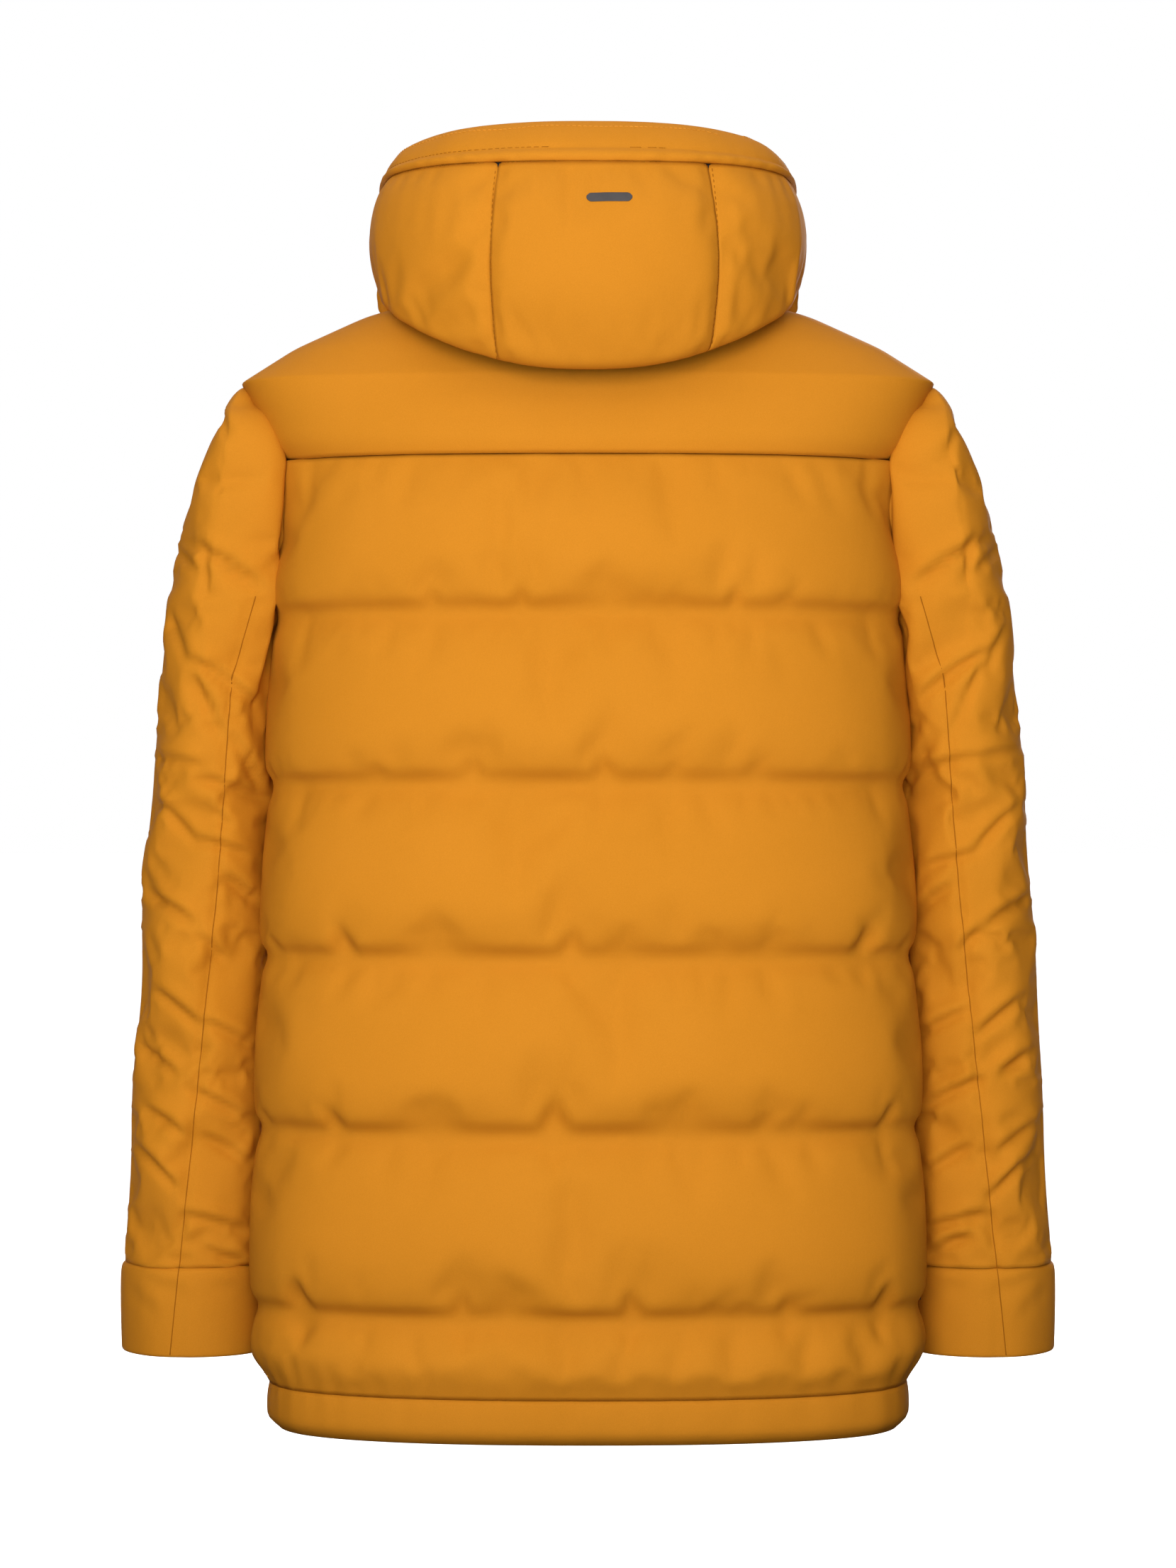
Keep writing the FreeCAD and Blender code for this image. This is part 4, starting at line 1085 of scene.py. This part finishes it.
def make_sleeves():
    """Both sleeves with their linings, cuffs, wristbands and gussets. Gives back the outer cloths."""
    pieces = {}
    for name, side in SIDES.items():
        grid = on_side(sleeve_grid(21 if side > 0 else 34), side)
        rows, columns = grid.shape[:2]
        verts = list(grid.reshape(-1, 3)) + [grid[-1].mean(0)]
        faces = grid_faces(rows, columns, True)
        last = (rows - 1) * columns
        for column in range(columns):
            faces.append((last + column, last + (column + 1) % columns, rows * columns))
        sleeve = mesh_object(name + "_sleeve", verts, faces)
        bend = sleeve_bend(name, side)
        halves = (name + "_upper_sleeve_", name + "_lower_sleeve_")
        replaced = [half + kind for kind in ("shell", "fill") for half in halves]
        finish_piece(sleeve, "shell_fabric", None, replaced, levels=0,
                     blend=bend, holes=(lambda piece, side=side: sleeve_hole(piece, side),))
        pieces[name + "_sleeve"] = sleeve
        make_sleeve_lining(name, side, bend)
        make_cuff(name, side)
        make_wristband(name, side)
        make_gusset(name, side)
    return pieces


def sleeve_hole(piece, side):
    """Opens the inner side of the sleeve head, where the arm comes in from the body."""
    cut_away(piece, armhole_cutter(side, SLEEVE_HOLE_END))


def make_sleeve_lining(name, side, bend):
    """Slack lining tube inside a sleeve, from the cuff to the armhole."""
    heights = np.linspace(CUFF_TOP, SLEEVE_LINING_TOP, 60)
    grid = np.array([sleeve_row(height, -SLEEVE_LINING, 40) for height in heights])
    waves = slant_waves(grid, 55, 7, 0.12)
    grid = grid + (grid - grid.mean(1, keepdims=True)) * waves[:, :, None] * 0.02 * np.array([1, 1, 0])
    grid = on_side(grid, side)
    lining = grid_part(name + "_sleeve_lining", grid, True)
    replaced = (name + "_upper_sleeve_lining", name + "_lower_sleeve_lining")
    finish_piece(lining, "lining", None, replaced, thickness=LINING_WALL,
                 blend=bend, holes=(lambda piece: sleeve_hole(piece, side),))


def make_cuff(name, side):
    """Plain cuff: outer face, turned edge and inner face."""
    ripple = 0.0006 * wavy(SLEEVE_COLUMNS, 7, 77)
    rows = [sleeve_row(height, ripple - inset) for height, inset in CUFF_PROFILE]
    grid = refine(np.array(rows)[::-1])
    outward_push = outward_in_plan(grid)
    facing, height = outward_push[:, :, 1], grid[:, :, 2] - HEM
    folds = sleeve_folds(grid[:, :, 0], facing, height, CUFF_SEED) * np.clip((CUFF_TOP - height) / 0.01, 0, 1)
    inner_rows = len(grid) // 2
    folds[:inner_rows] = 0
    grid = on_side(grid + outward_push * folds[:, :, None] * CUFF_FOLDS, side)
    cuff = grid_part(name + "_cuff_cloth", grid, True)
    finish_piece(cuff, "shell_fabric", name + "_lower_sleeve", (name + "_cuff",), thickness=0.0008)


def make_wristband(name, side):
    """Ribbed knit band inside the cuff."""
    ribs = []
    count = 3 * RIB_COUNT
    ridge = 0.0006 * np.cos(np.linspace(0, RIB_COUNT * 2 * math.pi, count, endpoint=False))
    for height in np.linspace(RIB_LOW, RIB_HIGH, 9):
        pinch = 0.0012 * math.sin(math.pi * (height - RIB_LOW) / (RIB_HIGH - RIB_LOW))
        ribs.append(sleeve_row(height, ridge - RIB_DEPTH - pinch, count))
    knit = grid_part(name + "_wristband", on_side(np.array(ribs), side), True)
    finish_piece(knit, "rib_knit", name + "_lower_sleeve", (name + "_rib_cuff",), thickness=0.0022)


def make_gusset(name, side):
    """Folded ring of cloth that joins the body to the sleeve round the armhole."""
    steps, across = 72, 14
    grid = []
    for share in np.linspace(0, 1, across):
        row = []
        for step in range(steps):
            angle = 2 * math.pi * step / steps
            back, up = math.cos(angle), math.sin(angle)
            y, height = ARMHOLE_Y + GUSSET_DEPTH * back, GUSSET_HEIGHT + GUSSET_RISE * up
            x = body_surface_x(y, height) - GUSSET_INSIDE * (1 - share) + GUSSET_TUCK * share
            dip = GUSSET_DIP * math.sin(math.pi * share)
            row.append((side * x, ZERO_Y + y - dip * back, HEM + height - dip * up))
        grid.append(row)
    grid = np.array(grid)
    if side > 0:
        grid = grid[:, ::-1]
    ring = grid_part(name + "_underarm_gusset", grid, True)
    start = (side * GUSSET_START, ZERO_Y + ARMHOLE_Y, HEM + GUSSET_HEIGHT)
    end = (start[0] + side * GUSSET_TURN, start[1] - GUSSET_SLOPE * GUSSET_TURN, start[2])
    finish_piece(ring, "shell_fabric", None, (), blend=("torso", name + "_upper_sleeve", start, end))


# ---------------------------------------------------------------- hood

HOOD_COLUMNS = 130
HOOD_MIDDLE = 0.80                # height at which the hood's columns are told apart
RING_GAP = 0.005
HOOD_RINGS = {}                   # plans of the hood by ring number, filled as they are asked for
HOOD_ROLL_IN, HOOD_ROLL_UP = 0.012, 0.004    # how far the lower edge is rolled in and up
HOOD_GATHER = 0.0060              # size of the gathers below the elastic
BRIM_WAVE, BRIM_GATHER = 0.0012, 0.0009
CATCH_DEPTH, CATCH_UNEVEN, CATCH_COLUMNS = 0.0022, 0.0010, 1.3   # how the seams draw the cloth in
# share of the hood's height, and offset: up the elastic's channel, over the rim and down inside it
BRIM_PROFILE = [(HOOD_CHANNEL, -.0035), (HOOD_CHANNEL + .010, -.0008), (HOOD_CHANNEL + .028, .0008),
                (HOOD_CHANNEL + .046, -.0006), (HOOD_CHANNEL + .056, -.0034), (HOOD_CHANNEL + .066, -.0028),
                (0.90, -0.0038), (0.94, -0.0062), (0.97, -0.0090), (0.99, -0.0118), (0.998, -0.0140),
                (0.995, -0.0165), (0.97, -0.0170), (0.92, -0.0150)]


def hood_plan(height):
    """Open U of plan points round the hood at one height, from the wearer's left front to right front."""
    half_width, back = table_at(HOOD, height)
    start = -math.asin((HOOD_FRONT / HOOD_FRONT_DEPTH) ** (SQUARENESS / 2))
    return arc_points(half_width, 0.0, HOOD_FRONT_DEPTH, back, SQUARENESS, start, math.pi - start,
                      HOOD_COLUMNS)


def hood_row(share, offset):
    """Points round the hood at a share of its height there (0 bottom, 1 rim), and an offset in or out."""
    points = hood_plan(HOOD_MIDDLE)
    for _ in range(3):
        heights = hood_height(points, share)
        points = np.array([hood_plan_point(h, number) for number, h in enumerate(heights)])
    return place(offset_row(points, offset), heights)


def hood_back_share():
    """Where each column of the hood lies: 1 on its back, 0 on its sides and front."""
    return np.clip((hood_plan(HOOD_MIDDLE)[:, 1] - 0.02) / 0.06, 0, 1) ** 2


def hood_plan_point(height, number):
    """One column of the hood's plan at any height, read between rings that are kept for the next call."""
    key = math.floor(height / RING_GAP)
    for ring in (key, key + 1):
        if ring not in HOOD_RINGS:
            HOOD_RINGS[ring] = hood_plan(ring * RING_GAP)
    part = height / RING_GAP - key
    return HOOD_RINGS[key][number] * (1 - part) + HOOD_RINGS[key + 1][number] * part


def hood_height(points, share):
    """Height at a share of the way from the hood's curved lower edge to its sloping rim."""
    y = points[:, 1]
    bottom = HOOD_BOTTOM - np.where(y > 0, HOOD_RADIUS - np.sqrt(HOOD_RADIUS**2 - np.minimum(y, .19)**2), 0)
    rim = HOOD_RIM + HOOD_SLOPE * y
    return bottom + (rim - bottom) * np.asarray(share)


def hood_wall_grid():
    """Outer cloth of the hood, from its rolled lower edge to the channel of its elastic."""
    seam_at = seam_columns()
    columns = np.arange(HOOD_COLUMNS)
    gather = wavy(HOOD_COLUMNS, 26, 8)
    on_back = hood_back_share()
    rolled = hood_row(0.0, -HOOD_ROLL_IN)
    rolled[:, 2] += HOOD_ROLL_UP
    rows = [rolled]
    for share in np.linspace(0.0, HOOD_CHANNEL, 20):
        part = share / HOOD_CHANNEL
        full = HOOD_FULL * math.sin(math.pi * min(1.0, 0.10 + 0.90 * part) ** 0.8)
        lower = -0.004 * max(0.0, 1 - part / 0.08) ** 2
        gathered = gather * HOOD_GATHER * max(0.0, (part - 0.55) / 0.45) * (1 - part)
        offset = full * on_back - HOOD_SIDE_IN * (1 - on_back) + lower - 0.003 * part**4 + gathered
        for seam in seam_at:
            catch = CATCH_DEPTH + CATCH_UNEVEN * math.sin(37 * part + seam) * math.sin(91 * part)
            offset = offset - catch * np.exp(-((columns - seam) / CATCH_COLUMNS) ** 2)
        rows.append(hood_row(share, offset))
    grid = np.array(rows)
    held = np.zeros(grid.shape[:2])
    held[[0, 1, -1]] = 1
    held[:, [0, -1] + seam_at] = 1
    grid = inflate(grid, held, False, pressure=1.6, excess=0.04, cap=0.006, bending=1.5)
    return turned_edges(grid, HOOD_WALL)


def seam_columns():
    """Columns of the hood's two upright seams on the back."""
    plan = hood_plan(HOOD_MIDDLE)
    back = plan[:, 1] > 0.03
    seams = (HOOD_SEAM_LEFT, -HOOD_SEAM_RIGHT)
    return [int(np.argmin(np.where(back, np.abs(plan[:, 0] - x), 9))) for x in seams]


def make_hood():
    """The lowered hood: two sides, the back between its seams, the brim band and the lining."""
    grid = hood_wall_grid()
    left, right = (column + 2 for column in seam_columns())
    # name, points, replaced nodes and fill
    parts = [("hood_side_left", grid[:, :left + 1], ("hood_left_panel",), 0.5),
             ("hood_back", grid[:, left:right + 1], ("hood_centre_panel", "hood_fill"), 0.5),
             ("hood_side_right", grid[:, right:], ("hood_right_panel",), 0.5),
             ("hood_brim_band", hood_brim_grid(grid[-1]), ("hood_brim", "hood_elastic"), 0.2)]
    pieces = {}
    for name, points, replaced, fill in parts:
        pieces[name] = grid_part(name, points)
        finish_piece(pieces[name], "shell_fabric", "hood", replaced)
    inner = np.array([hood_row(share, -HOOD_WALL) for share in np.linspace(0.94, 0.10, 16)])
    lining = grid_part("hood_inside", inner)
    finish_piece(lining, "lining", "hood", ("hood_lining",), thickness=LINING_WALL)
    return pieces


def hood_brim_grid(channel_row):
    """The elastic's channel, and above it the band that leans in to the rim and turns over it."""
    wave, gather = wavy(HOOD_COLUMNS, 9, 3), wavy(HOOD_COLUMNS, 30, 8)
    on_back = hood_back_share()
    rows = []
    for number, (share, offset) in enumerate(BRIM_PROFILE):
        ripple = wave * BRIM_WAVE * (1 if 4 < number < 10 else 0.2)
        ripple = ripple + gather * BRIM_GATHER * (1 if number < 4 else 0.25)
        raised = max(0.0, offset + HOOD_SIDE_IN)
        drawn_in = (HOOD_SIDE_IN * 0.6 + raised * 0.4) * (1 - on_back)
        rows.append(hood_row(share, offset - drawn_in + ripple * on_back))
    rows[0] = channel_row[2:-2].copy()
    return turned_edges(np.array(rows), HOOD_WALL)


# ---------------------------------------------------------------- seams, stitches and small parts

# along a stitch (0 to 1), and how many radii it lies above the cloth there
STITCH_BOW = [(0.0, -0.9), (0.25, 0.3), (0.75, 0.3), (1.0, -0.9)]
SEAM_RADIUS = 0.00034
MARK_ROUND = 0.18                 # share of half the bar's width over which its ends are rounded
TOOTH_PROFILE = [(-.46, -1.0), (.46, -1.0), (.46, -.35), (.30, -.05), (.42, .28), (.30, .62), (-.30, .62),
                 (-.42, .28), (-.30, -.05), (-.46, -.35)]


def even_points(path, pitch):
    """Points at a fixed pitch along a path in space."""
    path = np.asarray(path, float)
    length = distance_along(path)
    even = np.arange(0, length[-1], pitch)
    return np.stack([np.interp(even, length, path[:, axis]) for axis in range(3)], 1)


def outermost(trees, point, away):
    """The outermost point of the cloth beside a point, found from outside along away."""
    point = Vector(point)
    way = away.normalized()
    hits = [tree.ray_cast(point + way * 0.03, -way, 0.06)[0] for tree in trees]
    found = [hit for hit in hits if hit is not None]
    return max(found, key=lambda hit: (hit - point).dot(away), default=None)


def stitch_row(name, path, away, trees, material, body, pitch=0.0034, length=0.0023, radius=0.00042):
    """A row of single stitches laid on the cloth along a path. away points out of the cloth at each place."""
    points = even_points(path, pitch)
    aways = even_points(np.asarray(path) + np.asarray(away), pitch)[:len(points)]
    tubes = []
    for number in range(min(len(points), len(aways)) - 1):
        step = points[number + 1] - points[number]
        share = length / max(np.linalg.norm(step), 1e-9)
        out = Vector(aways[number] - points[number])
        line = []
        for part, lift in STITCH_BOW:
            spot = outermost(trees, points[number] + step * share * part, out)
            if spot is not None:
                line.append(spot + out.normalized() * radius * lift)
        if len(line) == len(STITCH_BOW):
            tubes.append(tube_along(line, radius, 5))
    row = join_tubes(name, tubes)
    paint(row, material)
    smooth(row)
    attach(row, body)


def plan_away(path):
    """Outward direction in plan at each point of a row that runs anticlockwise."""
    along = np.gradient(np.asarray(path), axis=0)
    length = np.linalg.norm(along, axis=1, keepdims=True)
    return np.stack([along[:, 1], -along[:, 0], 0 * along[:, 0]], 1) / length


def make_stitches(body, hood):
    """Topstitching at the hem, down both fronts, at the hood's seams and along its rim and channel."""
    thread, seam_thread = MATERIALS["thread"], MATERIALS["seam_thread"]
    trees = {name: tree_of(piece) for name, piece in {**body, **hood}.items()}
    trunk = [trees[name] for name in ("back_panel", "front_left", "front_right", "hem_roll")]
    path = trunk_point_row(BODY, HEM_TOP + 0.0022, 0.0)[2:-2]
    stitch_row("hem_stitches", path, plan_away(path), trunk, MATERIALS["light_thread"], "torso",
               pitch=0.0040, length=0.0027, radius=0.00055)
    for name, side in SIDES.items():
        heights = np.linspace(0.012, 0.76, 150)
        path = np.array([(side * 0.017, ZERO_Y + front_y(h), HEM + h) for h in heights])
        away = np.tile([0, -1, 0.0], (len(path), 1))
        stitch_row("front_stitches_" + name, path, away, trunk + [trees["yoke"]], thread, "torso")
    walls = [trees[name] for name in ("hood_back", "hood_side_left", "hood_side_right")]
    rows = np.array([hood_row(HOOD_CHANNEL * share, 0) for share in np.linspace(0.02, 0.99, 60)])
    for name, column in zip(SIDES, seam_columns()):
        away = np.tile([0, 1, 0.0], (len(rows), 1))
        stitch_row("hood_seam_stitches_" + name, rows[:, column], away, walls, seam_thread, "hood",
                   pitch=0.0042, length=0.0022, radius=0.00030)
    band = [trees["hood_brim_band"]]
    rim = hood_row(0.965, -0.0085)[3:-3]
    stitch_row("hood_rim_stitches", rim, plan_away(rim) + np.array([0, 0, 0.6]), band, thread, "hood")
    for share in (HOOD_CHANNEL - 0.004, HOOD_CHANNEL + 0.060):
        path = hood_row(share, 0)[3:-3]
        stitch_row("hood_channel_stitches_%d" % round(share * 100), path, plan_away(path), band + walls,
                   seam_thread, "hood", length=0.0020, radius=0.00026)


def make_sleeve_seams(sleeves):
    """The long seam down the back of each sleeve, as a fine sunken thread."""
    for name, side in SIDES.items():
        sleeve, cuff = tree_of(sleeves[name + "_sleeve"]), tree_of(bpy.data.objects[name + "_cuff_cloth"])
        points = []
        for height in np.linspace(CUFF_LOW + 0.002, SLEEVE_SEAM_TOP, 300):
            tree = sleeve if height > CUFF_TOP else cuff
            start = Vector((side * seam_line_x(height), ZERO_Y + 0.20, HEM + height))
            hit = tree.ray_cast(start, Vector((0, -1, 0)), 0.40)[0]
            if hit is not None:
                points.append(hit + Vector((0, 0.0001, 0)))
        line = mesh_object(name + "_sleeve_seam", *tube_along(points, SEAM_RADIUS))
        smooth(line)
        paint(line, MATERIALS["seam_thread"])
        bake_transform(line)


def make_mark(hood):
    """Plain grey bar on the back of the hood, laid on the cloth."""
    low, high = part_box("hood_mark")
    tree = tree_of(hood["hood_back"])
    rows, columns = 7, 25
    middle, half_high = (low.z + high.z) / 2, (high.z - low.z) / 2
    grid = []
    for row in range(rows):
        line = []
        for column in range(columns):
            across = low.x + (high.x - low.x) * column / (columns - 1)
            edge = abs(2 * column / (columns - 1) - 1)
            rounding = max(0.0, (edge - 1 + MARK_ROUND) / MARK_ROUND) ** 2
            tall = half_high * (1 - 0.75 * rounding)
            start = Vector((across, high.y + 0.10, middle + tall * (2 * row / (rows - 1) - 1)))
            hit = tree.ray_cast(start, Vector((0, -1, 0)), 0.3)[0]
            line.append(tuple(hit + Vector((0, 0.0006, 0))))
        grid.append(line)
    grid = np.array(grid)[:, ::-1]
    mark = grid_part("hood_bar", grid)
    finish_piece(mark, "grey_mark", "hood", ("hood_mark",), thickness=0.0005)


def chain_frame(node):
    """Centre, axes and half sizes of a straight zip chain: along it, across it and through it."""
    corners = np.array([v.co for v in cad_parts[node].data.vertices])
    centre = (corners.min(0) + corners.max(0)) / 2
    _, _, axes = np.linalg.svd(corners - corners.mean(0), full_matrices=False)
    local = (corners - centre) @ axes.T
    return centre + ((local.min(0) + local.max(0)) / 2) @ axes, axes, (local.max(0) - local.min(0)) / 2


def make_teeth(node, pitch):
    """Moulded zip teeth that mesh from both sides, in the place of a plain chain."""
    centre, axes, half = chain_frame(node)
    size = len(TOOTH_PROFILE)
    verts, faces = [], []
    for number in range(int(2 * half[0] / pitch)):
        for side in (1, -1):
            along = -half[0] + pitch * (number + (0.25 if side > 0 else 0.75))
            start = len(verts)
            for depth, shrink in ((-1, .80), (-.7, 1.0), (.7, 1.0), (1, .80)):
                for across, reach in TOOTH_PROFILE:
                    sideways = -side * reach * half[1] * 0.62 * shrink + side * half[1] * 0.38
                    local = (along + across * shrink * pitch * 0.5, sideways, depth * half[2])
                    verts.append(centre + np.array(local) @ axes)
            for ring in range(3):
                for corner in range(size):
                    beside = (corner + 1) % size
                    faces.append((start + ring * size + corner, start + ring * size + beside,
                                  start + (ring + 1) * size + beside, start + (ring + 1) * size + corner))
            faces.append(tuple(start + corner for corner in range(size))[::-1])
            faces.append(tuple(start + 3 * size + corner for corner in range(size)))
    teeth = mesh_object(node.replace("chain", "teeth"), verts, faces)
    outward(teeth)
    paint(teeth, MATERIALS["zip_chain"])
    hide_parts(node)
    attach(teeth, "torso")


def front_patch_y(x, height, inset):
    """Y of the front at a distance from the centre, set in from the outer cloth."""
    half_width = table_at(BODY, height)[0]
    depth = WIDEST_Y - front_y(height) - inset
    return WIDEST_Y - depth * (1 - (abs(x) / (half_width - inset)) ** SQUARENESS) ** (1 / SQUARENESS)


def make_pocket_bags():
    """Flat empty pocket bags between the filling and the lining."""
    for name in SIDES:
        low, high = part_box(name + "_pocket_bag")
        rows, columns = 26, 20
        grid = []
        for height in np.linspace(low.z - HEM, high.z - HEM, rows):
            share = (height - (low.z - HEM)) / (high.z - low.z)
            taper = 1 - 0.12 * abs(2 * share - 1) ** 3
            middle = (low.x + high.x) / 2
            xs = middle + (np.linspace(low.x, high.x, columns) - middle) * taper
            sway = 0.0006 * math.sin(9 * share)
            grid.append([(x, ZERO_Y + front_patch_y(x, height, BAG_INSET + sway), HEM + height) for x in xs])
        bag = grid_part(name + "_pocket_pouch", np.array(grid))
        finish_piece(bag, "lining", "torso", (name + "_pocket_bag",), thickness=0.0008)


def make_nape():
    """Cloth folded between the neck seam and the hood's lower edge: a strip behind and one at each side."""
    columns = 40
    profile = [(0.0, 0.010), (0.25, 0.030), (0.5, 0.046), (0.72, 0.050), (0.9, 0.040), (1.0, 0.020)]
    # name, first and last angle round the neck, direction in plan, and two distances along it for the points
    # given with its blend
    strips = [("hood_nape", 44, 136, 90, .072, .105), ("hood_nape_left", -24, 46, 20, .099, .122),
              ("hood_nape_right", 134, 204, 160, .099, .122)]
    for name, first, last, facing, start, end in strips:
        grid = []
        for share, rise in profile:
            row = []
            for degrees in np.linspace(first, last, columns):
                angle = math.radians(degrees)
                near = np.array([0.099 * math.cos(angle), WIDEST_Y + 0.052 * math.sin(angle)])
                far = np.array([0.134 * math.cos(angle), 0.005 + 0.142 * math.sin(angle)])
                spot = near * (1 - share) + far * share
                row.append((spot[0], ZERO_Y + spot[1], HEM + 0.762 + rise * (0.6 + 0.4 * math.sin(angle))))
            grid.append(row)
        nape = grid_part(name, np.array(grid))
        way = (math.cos(math.radians(facing)), math.sin(math.radians(facing)))
        finish_piece(nape, "shell_fabric", None, (), levels=2,
                     blend=("torso", "hood", (way[0] * start, ZERO_Y + way[1] * start, HEM + 0.80),
                            (way[0] * end, ZERO_Y + way[1] * end, HEM + 0.80)))


NODE_FINISH = {"hanger_loop": "loop_cord", "side_rivet": "dark_metal", "hood_eyelets": "dark_metal",
               "front_zip_tape_left": "zip_tape", "front_zip_tape_right": "zip_tape",
               "front_zip_end_stops": "dark_metal", "front_zip_slider": "dark_metal",
               "front_zip_pull": "dark_metal",
               "left_pocket_zip_tape": "zip_tape", "right_pocket_zip_tape": "zip_tape",
               "left_pocket_zip_slider": "dark_metal", "right_pocket_zip_slider": "dark_metal",
               "left_pocket_zip_pull": "dark_metal", "right_pocket_zip_pull": "dark_metal"}


def paint_nodes():
    """Gives the carried-over CAD parts their finish."""
    for node_name, finish in NODE_FINISH.items():
        paint(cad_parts[node_name], MATERIALS[finish])


# ---------------------------------------------------------------- run

make_camera()
make_lights()
make_floor()
# a finish given to finish_piece is the name of one of these materials
MATERIALS = {
    "shell_fabric": fabric_material("mustard_cloth", (.490, .178, .009), (.545, .200, .013)),
    "lining": fabric_material("lining_cloth", (.030, .031, .034), (.045, .046, .050), 0.5, 0.1),
    # the knit's colour, darkened by painted shade for the rib grooves and lightened by a painted highlight
    # for the ridges
    "rib_knit": rib_material("rib_knit", (.40, .130, .006), (.54, .185, .009)),
    "zip_tape": fabric_material("zip_tape", (.030, .030, .033), (.048, .048, .052), 0.7, 0.1, 1500.0),
    "zip_chain": simple_material("zip_plastic", (.035, .035, .038), 0.35),
    "dark_metal": simple_material("dark_metal", (.09, .088, .086), 0.34, 0.9),
    "grey_mark": simple_material("grey_mark", (.052, .046, .046), 0.6),
    # the cord's colour, darkened by painted shade for the rib grooves and lightened by a painted highlight
    # for the ridges
    "loop_cord": rib_material("loop_cord", (.030, .030, .033), (.05, .05, .055)),
    "thread": simple_material("thread", (.58, .225, .022), 0.7, gloss=0.08),
    "light_thread": simple_material("light_thread", (.72, .33, .045), 0.6, gloss=0.1),
    "seam_thread": simple_material("seam_thread", (.300, .100, .005), 0.8, gloss=0.04),
}


BODY_PIECES = make_body()
make_linings()
make_collar()
SLEEVE_PIECES = make_sleeves()
HOOD_PIECES = make_hood()
make_stitches(BODY_PIECES, HOOD_PIECES)
make_sleeve_seams(SLEEVE_PIECES)
make_mark(HOOD_PIECES)
make_nape()
make_pocket_bags()
make_teeth("front_zip_chain", 0.0036)
for SIDE_NAME in SIDES:
    make_teeth(SIDE_NAME + "_pocket_zip_chain", 0.0028)
paint_nodes()
